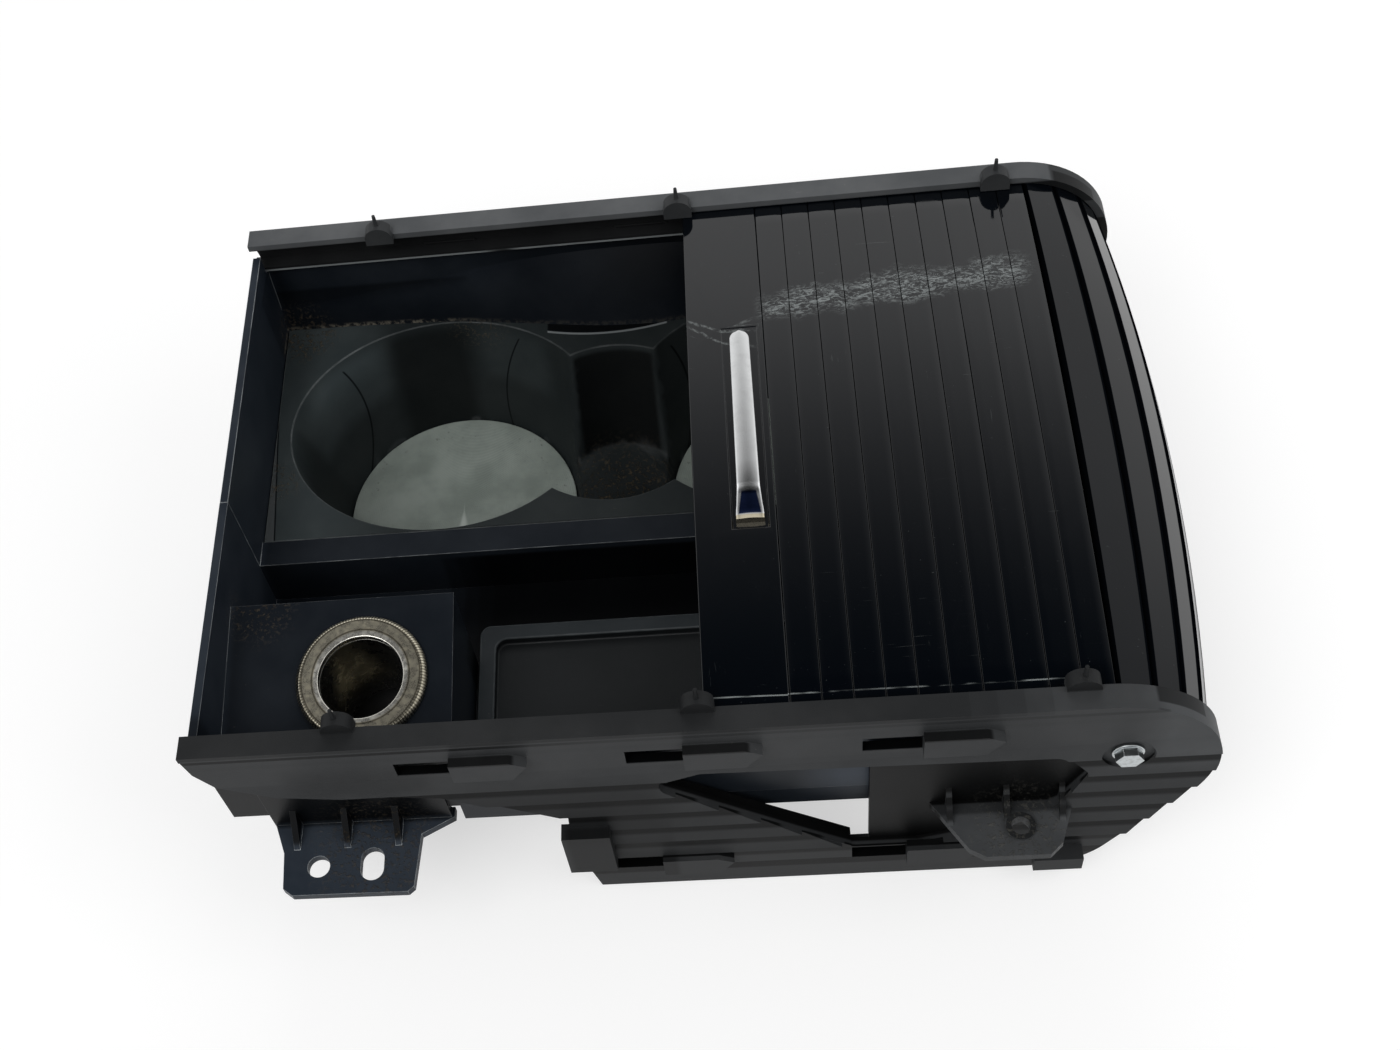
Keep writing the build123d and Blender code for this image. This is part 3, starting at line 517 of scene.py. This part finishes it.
# painted reflections in the hollow at the near end of the pull, blue-black inside, a painted highlight near its far
# edge and a cream reflection on its rim: middle, near and far edge, half widths, where the highlight lies, in mm
scoopReflection = dict(x=16.45, near=-27.3, far=-20.6, half=(1.9, 2.9), litAt=1.1, dark=(0.016, 0.026, 0.075),
              lit=(0.95, 0.96, 0.97), rim=(0.62, 0.56, 0.42))


def pullReflections(f, spot, colour):
    x, y, z = f.split(spot)
    near, far = scoopReflection["near"], scoopReflection["far"]
    half = scoopReflection["half"][0] + (scoopReflection["half"][1] - scoopReflection["half"][0]) * ((far - y) / (far - near))
    across = ((x - scoopReflection["x"]).size() - half).fall(-0.3, 0.05)
    # painted highlight near the far edge, painted cream reflection on the rim, painted blue-black reflection inside
    colour = (y - far - scoopReflection["litAt"]).near(0.5, 1.3).mix(colour, scoopReflection["lit"])
    colour = y.fall(near - 0.2, near).mix(colour, scoopReflection["rim"])
    inside = across * y.step(near, near + 0.4) * y.fall(far - 0.5, far + 0.2)
    return inside.mix(colour, scoopReflection["dark"])


# socket ring: axis, radii of the inner lip and of the ticked rim, ticks, in mm
ringMarks = dict(x=-81.45, y=-53.9, lip=12.3, rim=14.9, ticks=130, bright=(0.86, 0.84, 0.77),
                 line=(0.1, 0.085, 0.06), lineShare=0.75)


def ringLines(f, spot, colour):
    lip, rim = ringMarks["lip"], ringMarks["rim"]
    x, y, z = f.split(f.less(spot, (ringMarks["x"], ringMarks["y"], 0)))
    reach = (x * x + y * y).root()
    tick = (y.turn(x) * ringMarks["ticks"]).sine().step(-0.2, 0.5)
    colour = reach.fall(lip - 0.6, lip - 0.2).mix(colour, ringMarks["bright"])
    lines = (reach - lip).near(0.1, 0.28).atLeast((reach - rim).near(0.1, 0.25))
    lines = lines.atLeast(reach.step(rim + 0.1, rim + 0.2) * tick)
    return (lines * ringMarks["lineShare"]).mix(colour, ringMarks["line"])


metalMarks = {"handle_chrome": pullReflections, "nickel": ringLines}


def wornMetal(slot):
    s = metals[slot]
    f = Finish(slot)
    spot = f.place()
    stain = f.grain(spot, s["lump"], 4, 0.65).step(0.42, 0.75)
    pit = f.grain(spot, 0.5, 3, 0.6)
    colour = (stain * s["tarnish"]).mix(s["bright"], s["dull"])
    if slot in metalMarks:
        colour = metalMarks[slot](f, spot, colour)
    rough = s["rough"][0] + (s["rough"][1] - s["rough"][0]) * stain + 0.06 * pit
    return f.set(baseColor=colour, metallic=1.0, roughness=rough, normal=f.bump(pit * 0.006))


# spun grey discs in the cups: ring pitch, blotches, dirt near the edge and the painted sheen, a pale wedge, in mm
disc = dict(pale=(0.36, 0.405, 0.37), dark=(0.25, 0.29, 0.26), wedge=(0.62, 0.67, 0.63), ring=0.55, blotch=14,
            dirt=1.6, dirtReach=(18, 33), soil=(0.05, 0.045, 0.035), fan=(0.04, 0.3), fanEnds=(-5, 4), metallic=0.15)


def spunDisc(name, centre):
    f = Finish(name)
    spot = f.place()
    reach = f.away(f.stretch(spot, (1, 1, 0)), (centre[0], centre[1], 0))
    rings = (reach * (2 * pi / disc["ring"])).sine()
    uneven = f.grain(spot, disc["blotch"], 4, 0.6)
    dirty = f.grain(spot, disc["dirt"], 4, 0.7).step(0.6, 0.72) * reach.step(*disc["dirtReach"])
    colour = uneven.step(0.3, 0.7).mix(disc["dark"], disc["pale"])
    x, y, z = f.split(f.less(spot, tuple(centre)))
    # painted sheen: a pale wedge from the centre towards the near side
    fan = (x / (1 - y).atLeast(1)).near(*disc["fan"]) * y.fall(*disc["fanEnds"])
    colour = (fan * 0.9).mix(colour, disc["wedge"])
    colour = (dirty * 0.6).mix(colour, disc["soil"])
    rough = 0.4 + 0.12 * uneven + 0.2 * dirty
    return f.set(baseColor=colour, metallic=disc["metallic"], roughness=rough, normal=f.bump(rings * 0.02))


# woven backing of the cover: pitch of the threads and their relief, in mm
weave = dict(pitch=0.9, relief=0.08, dark=(0.008, 0.008, 0.009), pale=(0.02, 0.02, 0.022), rough=0.75)


def wovenFilm(name):
    f = Finish(name)
    x, y, z = f.split(f.restPlace())
    warp, weft = ((axis * (2 * pi / weave["pitch"])).sine() for axis in (x, y))
    threads = (warp * weft) * 0.5 + 0.5
    return f.set(baseColor=threads.mix(weave["dark"], weave["pale"]), roughness=weave["rough"],
                 normal=f.bump(threads * weave["relief"]))


finishes = {slot: mouldedPlastic(slot) for slot in mouldings}
finishes.update({slot: wornMetal(slot) for slot in metals})
finishes["slat_gloss"] = slatGloss("slat_gloss")
finishes["slat_gloss_bend"] = slatGloss("slat_gloss_bend", True)
finishes["film"] = wovenFilm("film")
for side in ("left", "right"):
    low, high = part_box(f"cup_mat_{side}")
    finishes[f"mat_grey_{side}"] = spunDisc(f"mat_grey_{side}", (low + high) / 2 / mm)
print("finishes made:", len(finishes))


# meshes
def keep(name, bm, finish, body="housing", stands=(), sharpest=35):
    bmesh.ops.recalc_face_normals(bm, faces=bm.faces)
    mesh = bpy.data.meshes.new(name)
    bm.to_mesh(mesh)
    bm.free()
    for face in mesh.polygons:
        face.use_smooth = True
    mesh.set_sharp_from_angle(angle=radians(sharpest))
    mesh.materials.append(finish)
    piece = bpy.data.objects.new(name, mesh)
    scene.collection.objects.link(piece)
    if body:
        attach(piece, body)
    if stands:
        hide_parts(*stands)
    return piece


def markRest(mesh):   # keeps each point's rest place for the finish
    rest = mesh.attributes.new("restPlace", "FLOAT_VECTOR", "POINT")
    for i, point in enumerate(mesh.vertices):
        rest.data[i].vector = point.co / mm


def joinRings(bm, rings):   # a closed skin over rings of points, with both ends shut
    count = len(rings[0])
    for a, b in zip(rings, rings[1:]):
        for i in range(count):
            bm.faces.new((a[i], a[(i + 1) % count], b[(i + 1) % count], b[i]))
    bm.faces.new(rings[0])
    bm.faces.new(reversed(rings[-1]))


def joinSheets(bm, one, other):   # faces of two grids of points, and of the rim between them
    for rows in (one, other):
        for a, b in zip(rows, rows[1:]):
            for j in range(len(a) - 1):
                bm.faces.new((a[j], a[j + 1], b[j + 1], b[j]))
    last, wide = len(one) - 1, len(one[0]) - 1
    for i in range(last):
        for j in (0, wide):
            bm.faces.new((one[i][j], one[i + 1][j], other[i + 1][j], other[i][j]))
    for i in (0, last):
        for j in range(wide):
            bm.faces.new((one[i][j], one[i][j + 1], other[i][j + 1], other[i][j]))


def softened(node, edge, slot, finish=None, body="housing", segments=2, rim=None):   # a CAD node, edges eased
    bm = bmesh.new()
    bm.from_mesh(frame["nodes"][node].data)
    bmesh.ops.remove_doubles(bm, verts=bm.verts, dist=0.002 * mm)
    if rim is None:
        bmesh.ops.dissolve_limit(bm, angle_limit=radians(0.5), verts=bm.verts, edges=bm.edges)
    crisp = [e for e in bm.edges if len(e.link_faces) == 2 and e.calc_face_angle(0) > radians(30)]
    if rim is not None:   # only the edges at that height
        crisp = [e for e in crisp if all(abs(v.co.z - rim) < 0.05 * mm for v in e.verts)]
    mark = bm.faces.layers.float.new("eased")
    made = bmesh.ops.bevel(bm, geom=crisp, offset=edge, offset_type="OFFSET", segments=segments, profile=0.5,
                           affect="EDGES", clamp_overlap=rim is None)
    for face in made["faces"]:
        face[mark] = 1.0
    piece = keep(f"{node}_skin", bm, finish or finishes[slot], body, [node], 40)
    weigh = piece.modifiers.new("even", "WEIGHTED_NORMAL")
    weigh.keep_sharp = True
    markRest(piece.data)
    return piece


def bowRise(y):
    return bow["rise"] * mm * max(0.0, 1 - (y / (bow["half"] * mm)) ** 2)


def bowOut(point):   # a point of the cover moved out along the bend's normal
    x, z = point.x / mm - bow["bendX"], point.z / mm - bow["bendZ"]
    a = min(atan2(x, z), bow["turn"]) if x > 0 else 0.0
    t = max(0.0, min(1.0, (point.z / mm - bow["fade"][0]) / (bow["fade"][1] - bow["fade"][0])))
    rise = bowRise(point.y) * t * t * (3 - 2 * t)
    return point + Vector((sin(a) * rise, 0, cos(a) * rise))


def bowed(piece):   # cuts a piece of the cover across its length and bows it
    bm = bmesh.new()
    bm.from_mesh(piece.data)
    for i in range(1, bow["cuts"] + 1):
        y = bow["half"] * mm * (2 * i / (bow["cuts"] + 1) - 1)
        whole = bm.verts[:] + bm.edges[:] + bm.faces[:]
        bmesh.ops.bisect_plane(bm, geom=whole, dist=0.001 * mm, plane_co=(0, y, 0), plane_no=(0, 1, 0))
    for point in bm.verts:
        point.co = bowOut(point.co)
    bm.to_mesh(piece.data)
    bm.free()


# radius of the eased edges, in mm; the insert's are eased at its rim alone
easing = {"near_side_frame": 0.35, "far_side_frame": 0.35, "tray_tub": 0.6, "storage_tub": 0.6,
          "storage_mat": 0.5, "cup_mat_left": 0.25, "cup_mat_right": 0.25, "socket_ring": 0.3,
          "socket_shell": 0.1, "socket_body": 0.3, "socket_contact": 0.3, "cross_tube": 0.2,
          "side_bolt_near": 0.2, "side_bolt_far": 0.2, "cup_insert": 0.35}
slotOf = {row["node"]: row["material_slot"] for row in frame["record"]["subparts"]}
for node, edge in easing.items():
    finish = finishes[node.replace("cup_mat", "mat_grey")] if node.startswith("cup_mat") else None
    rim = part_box(node)[1].z if node == "cup_insert" else None
    softened(node, edge * mm, slotOf[node], finish, rim=rim)

# handle slat: the pull's recess ends nearer than in the CAD and runs out there, in mm
handle = dict(edge=0.3, shorter=4.7, shallow=0.15, reach=4.0)
piece = softened("handle_slat", handle["edge"] * mm, "slat_gloss", body="cover", segments=3)
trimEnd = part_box("handle_trim")[1].y
slatTop = max(point.co.z for point in piece.data.vertices)
for point in piece.data.vertices:
    if abs(point.co.y - trimEnd) < handle["reach"] * mm:
        point.co.y -= handle["shorter"] * mm
        point.co.z = max(point.co.z, slatTop - handle["shallow"] * mm)
bowed(piece)
print("CAD nodes dressed")

# leaning far wall over the insert: x and y of its foot, heights, thickness and sag, in mm
farWall = dict(foot=[(-117.5, 75.4), (-95, 75.0), (-66, 73.7), (-45, 70.6), (-22, 67.2), (-5, 66.7), (4, 67.6),
                     (12, 71.2), (28, 73.9), (50, 75.1), (80, 75.3)], blur=(-6, -3, 0, 3, 6), low=49.05,
               high=73.5, top=79.7, thick=0.8, along=60, cuts=6, sag=0.3, sagFrom=75.5, sagOver=9)


def footAt(x):   # y of the wall's foot, between the given points
    for (xa, ya), (xb, yb) in zip(farWall["foot"], farWall["foot"][1:]):
        if x <= xb:
            return ya + (yb - ya) * max(0.0, (x - xa) / (xb - xa))
    return farWall["foot"][-1][1]


bm = bmesh.new()
firstX, lastX = farWall["foot"][0][0], farWall["foot"][-1][0]
fronts, backs = [], []
for i in range(farWall["along"] + 1):
    x = firstX + (lastX - firstX) * i / farWall["along"]
    foot = sum(footAt(x + d) for d in farWall["blur"]) / len(farWall["blur"])
    sag = farWall["sag"] * (farWall["sagFrom"] - foot) / farWall["sagOver"]
    for rows, behind in ((fronts, 0), (backs, farWall["thick"])):
        rows.append([])
        for j in range(farWall["cuts"] + 1):
            t = j / farWall["cuts"]
            y = foot + (farWall["top"] - foot) * t - sag * sin(pi * t) + behind
            z = farWall["low"] + (farWall["high"] - farWall["low"]) * t
            rows[-1].append(bm.verts.new((x * mm, y * mm, z * mm)))
joinSheets(bm, fronts, backs)
keep("far_wall_panel", bm, finishes["tub_plastic"])

# dark sheets behind the upper clip slots of the side frames, put there as shade: x of each, length, y and height, in
# mm
shadeSheet = dict(starts=(-69.75, -15.75, 38.25), long=13.5, over=0.6, depth=(79.9, 80.46), height=(73.9, 76.2),
               edge=0.12)
for side, sign in (("near", -1), ("far", 1)):
    bm = bmesh.new()
    (inner, outer), (low, high) = shadeSheet["depth"], shadeSheet["height"]
    for start in shadeSheet["starts"]:
        rings = []
        for x in (start - shadeSheet["over"], start + shadeSheet["long"] + shadeSheet["over"]):
            corners = ((inner, low), (outer, low), (outer, high), (inner, high))
            rings.append([bm.verts.new((x * mm, sign * y * mm, z * mm)) for y, z in corners])
        joinRings(bm, rings)
    bmesh.ops.bevel(bm, geom=bm.edges[:], offset=shadeSheet["edge"] * mm, segments=2, profile=0.5, affect="EDGES")
    keep(f"slot_backing_{side}", bm, finishes["frame_plastic"])
print("wall panel and slot backings made")

# chrome pull: a domed bar, round at the far end, flared and scooped at the near end, in mm;
# stations are those of the round end, the straight part and the scoop
pull = dict(crown=0.5, flare=9.0, wide=1.27, slim=0.93, spread=0.12, flared=0.22, tip=0.12, tipPower=0.6,
            stations=(8, 6, 12), scoop=0.55, scoopStart=0.16, lipAt=0.8, lipRise=0.55, shallow=0.45, side=0.25,
            shares=(-1, -0.93, -0.8, -0.6, -0.3, 0, 0.3, 0.6, 0.8, 0.93, 1))


def pullStations(low, high):   # along the bar: y, half width, and how far along the scoop
    half = (high.x - low.x) / 2 / pull["wide"] * pull["slim"]
    rounded, straight, scooped = pull["stations"]
    roundEnd, scoopEnd = high.y - half, low.y + pull["flare"] * mm
    stations = []
    for i in range(rounded + 1):
        a = pi / 2 * i / rounded
        stations.append((roundEnd + half * cos(a), half * max(sin(a), pull["tip"]) ** pull["tipPower"], 0.0))
    for i in range(1, straight + 1):
        t = i / straight
        stations.append((roundEnd + (scoopEnd - roundEnd) * t, half * (1 + pull["spread"] * t), 0.0))
    for i in range(1, scooped + 1):
        t = i / scooped
        wide = half * (1 + pull["spread"] + pull["flared"] * t)
        stations.append((scoopEnd + (low.y - scoopEnd) * t, wide, t))
    return stations


def pullTop(u, t):   # height across and along, 0 at the bar's crest
    lipShare = max(0.0, (t - pull["lipAt"]) / (1 - pull["lipAt"]))
    dip = min(1.0, t / pull["scoopStart"]) * (1 - pull["lipRise"] * lipShare)
    depth = pull["scoop"] * dip * (pull["shallow"] + (1 - pull["shallow"]) * t)
    return (-pull["crown"] * u * u - depth * max(0.0, 1 - abs(u) ** 5)) * mm


low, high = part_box("handle_trim")
high.y -= handle["shorter"] * mm
middle = (low.x + high.x) / 2
bm = bmesh.new()
rings = []
for y, half, t in pullStations(low, high):
    ring = []
    for u in pull["shares"]:
        drop = pull["side"] * mm if abs(u) == 1 else 0
        ring.append(bm.verts.new((middle + u * half, y, high.z + bowRise(y) + pullTop(u, t) - drop)))
    ring += [bm.verts.new((middle + u * half, y, low.z + bowRise(y))) for u in (1, -1)]
    rings.append(ring)
joinRings(bm, rings)
keep("handle_trim_pull", bm, finishes["handle_chrome"], "cover", ["handle_trim"], 50)
print("pull made")

# slats: a rounded bar, crowned on top, each tilted a little, in mm and degrees
slat = dict(round=0.1, steps=3, crown=0.008, crownSteps=4, foot=0.3, chamfer=0.4, cuts=16, tilt=0.1, seed=4)


def slatProfile(width, thick):   # outline across the slat, from its middle, top at 0
    half = width / 2
    r, foot = slat["round"] * mm, slat["foot"] * mm
    corner = [pi / 2 * i / slat["steps"] for i in range(slat["steps"] + 1)]
    points = [(-half + r - r * cos(a), -r + r * sin(a)) for a in corner]
    for i in range(1, slat["crownSteps"]):
        t = i / slat["crownSteps"]
        points.append((-half + r + (width - 2 * r) * t, slat["crown"] * mm * 4 * t * (1 - t)))
    points += [(half - r + r * sin(a), -r + r * cos(a)) for a in corner]
    points += [(half, -thick + foot), (half - foot, -thick), (-half + foot, -thick), (-half, -thick + foot)]
    return points


def addBar(bm, profile, matrix, reach):   # the outline drawn out along Y, with eased ends
    ease = slat["chamfer"] * mm
    inner = reach - ease
    stations = [(inner * (2 * i / slat["cuts"] - 1), 0) for i in range(slat["cuts"] + 1)]
    stations = [(-reach, ease), *stations, (reach, ease)]
    rings = []
    for y, shrink in stations:
        ring = []
        for u, w in profile:
            side = max(-1, min(1, u / abs(profile[-1][0])))
            z = w + bowRise(y) - (shrink / 2 if w > -mm else 0)
            ring.append(bm.verts.new(matrix @ Vector((u - side * shrink / 2, y, z))))
        rings.append(ring)
    joinRings(bm, rings)


def unsmooth(w):   # where a smooth step reaches w
    w = max(0.0, min(1.0, w))
    return 0.5 - sin(asin(1 - 2 * w) / 3)


def follow(piece, x0, x1, fixedX, freeX):   # bakes the piece's transform; the even stretch between the bend and the handle slat is worked out but not applied
    wa, wb = ((fixedX - x) / (fixedX - freeX) for x in (x0, x1))
    ta, tb = unsmooth(wa), unsmooth(wb)
    slope = (x0 - x1) / (ta - tb)
    start = x1 - tb * slope
    start + slope
    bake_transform(piece)


slatNames = sorted(n for n in frame["nodes"] if n.startswith("slat_"))
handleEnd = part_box("handle_slat")[1].x
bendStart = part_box(slatNames[-1])[1].x + 0.2 * mm
tilts = Random(slat["seed"])
for node in slatNames:
    low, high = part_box(node)
    bm = bmesh.new()
    lean = Matrix.Rotation(radians(tilts.uniform(-slat["tilt"], slat["tilt"])), 4, "Y")
    there = Matrix.Translation(((low.x + high.x) / 2, 0, high.z))
    addBar(bm, slatProfile(high.x - low.x, high.z - low.z), there @ lean, high.y)
    piece = keep(f"{node}_bar", bm, finishes["slat_gloss"], None, [node], 30)
    markRest(piece.data)
    follow(piece, low.x, high.x, bendStart, handleEnd)

filmGrid = dict(along=24, across=16)
low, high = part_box("curtain_film")
bm = bmesh.new()
ys = [low.y + (high.y - low.y) * j / filmGrid["across"] for j in range(filmGrid["across"] + 1)]
sheets = []
for z in (low.z, high.z):
    sheets.append([])
    for i in range(filmGrid["along"] + 1):
        x = low.x + (high.x - low.x) * i / filmGrid["along"]
        sheets[-1].append([bm.verts.new((x, y, z + bowRise(y))) for y in ys])
joinSheets(bm, *sheets)
film = keep("curtain_film_cloth", bm, finishes["film"], None, ["curtain_film"])
markRest(film.data)
follow(film, low.x, high.x, bendStart, handleEnd)

tail = dict(edge=0.25)
bowed(softened("curtain_tail", tail["edge"] * mm, "slat_gloss", finishes["slat_gloss_bend"]))
print("cover made:", len(slatNames), "slats")

# camera: the photograph's view, in mm and pixels of a 1400 x 1050 frame
photoView = dict(eye=(20.71, -271.96, 446.94), aim=(-38.15, 7.06, 40.0), roll=-13.79, focal=1812.0, wide=1400,
                 shift=(0.1058, -0.0035), sensor=36, clip=(0.01, 50))
camera = bpy.data.cameras.new("photo_camera")
camera.sensor_width = photoView["sensor"]
camera.lens = photoView["sensor"] * photoView["focal"] / photoView["wide"]
camera.shift_x, camera.shift_y = photoView["shift"]
camera.clip_start, camera.clip_end = photoView["clip"]
viewer = bpy.data.objects.new("photo_camera", camera)
scene.collection.objects.link(viewer)
eye = Vector(photoView["eye"]) * mm
ahead = (Vector(photoView["aim"]) * mm - eye).normalized()
across = ahead.cross(Vector((0, 0, 1))).normalized()
above = across.cross(ahead)
roll = radians(photoView["roll"])
right = across * cos(roll) + above * sin(roll)
viewer.matrix_world = Matrix((right, right.cross(ahead), -ahead)).transposed().to_4x4()
viewer.location = eye
scene.camera = viewer

# stage: pale floor in m, white surroundings, and a sky that darkens overhead and to one side in mirrors
stage = dict(floor=4.0, gap=0.0005, albedo=0.5, rough=0.9, glow=0.58, fill=0.35, sky=(0.6, 0.985), zenith=0.015,
             side=(0.85, 1.0), horizon=(-0.1, 0.1), dim=0.5)
floor = bpy.data.meshes.new("floor")
half = stage["floor"] / 2
floor.from_pydata([(-half, -half, 0), (half, -half, 0), (half, half, 0), (-half, half, 0)], [], [(0, 1, 2, 3)])
ground = bpy.data.objects.new("floor", floor)
ground.location.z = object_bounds()[0].z - stage["gap"]
scene.collection.objects.link(ground)
f = Finish("floor")
seen = f.node("ShaderNodeLightPath", out="Is Camera Ray")
seen = seen.atLeast(seen.other("Is Glossy Ray")).atLeast(seen.other("Is Transmission Ray"))
f.set(baseColor=(stage["albedo"],) * 3, roughness=stage["rough"], specularIORLevel=0.0,
      emissionStrength=stage["glow"], emissionColor=seen.mix((0, 0, 0), (1, 1, 1)))
floor.materials.append(f.material)

world = bpy.data.worlds.new("studio")
scene.world = world
world.use_nodes = True
f = Finish("studio", world.node_tree)
fromCamera = f.node("ShaderNodeLightPath", out="Is Camera Ray")
plain = fromCamera.atLeast(fromCamera.other("Is Transmission Ray"))
mirrored = fromCamera.other("Is Glossy Ray")
aside, beyond, height = f.split(f.node("ShaderNodeTexCoord", out=0))
sky = 1 - height.step(*stage["sky"]) * (1 - stage["zenith"])
sky = sky * (1 - stage["dim"] * aside.step(*stage["side"]) * height.step(*stage["horizon"]))
back = world.node_tree.nodes["Background"]
f.feed(back.inputs["Strength"], plain + (1 - plain) * (mirrored * sky + (1 - mirrored) * stage["fill"]))
f.feed(back.inputs["Color"], (1, 1, 1))

# soft square lamps: place and size in m, power in W, and whether mirrors show them
lampAim = Vector((0, 0, 0.04))
lamps = {
    "key": dict(at=(-0.5, -0.75, 1.25), size=0.9, power=9.0, mirrored=True),
    "fill": dict(at=(0.9, -0.3, 0.9), size=0.8, power=4.0, mirrored=False),
    "rim": dict(at=(0.1, 0.95, 0.8), size=0.9, power=4.0, mirrored=False),
}
for name, s in lamps.items():
    light = bpy.data.lights.new(name, "AREA")
    light.shape = "SQUARE"
    light.size = s["size"]
    light.energy = s["power"]
    lamp = bpy.data.objects.new(name, light)
    scene.collection.objects.link(lamp)
    lamp.location = s["at"]
    lamp.visible_glossy = s["mirrored"]
    lamp.rotation_euler = (lampAim - lamp.location).to_track_quat("-Z", "Y").to_euler()
scene.view_settings.view_transform = "Standard"
print("stage set")
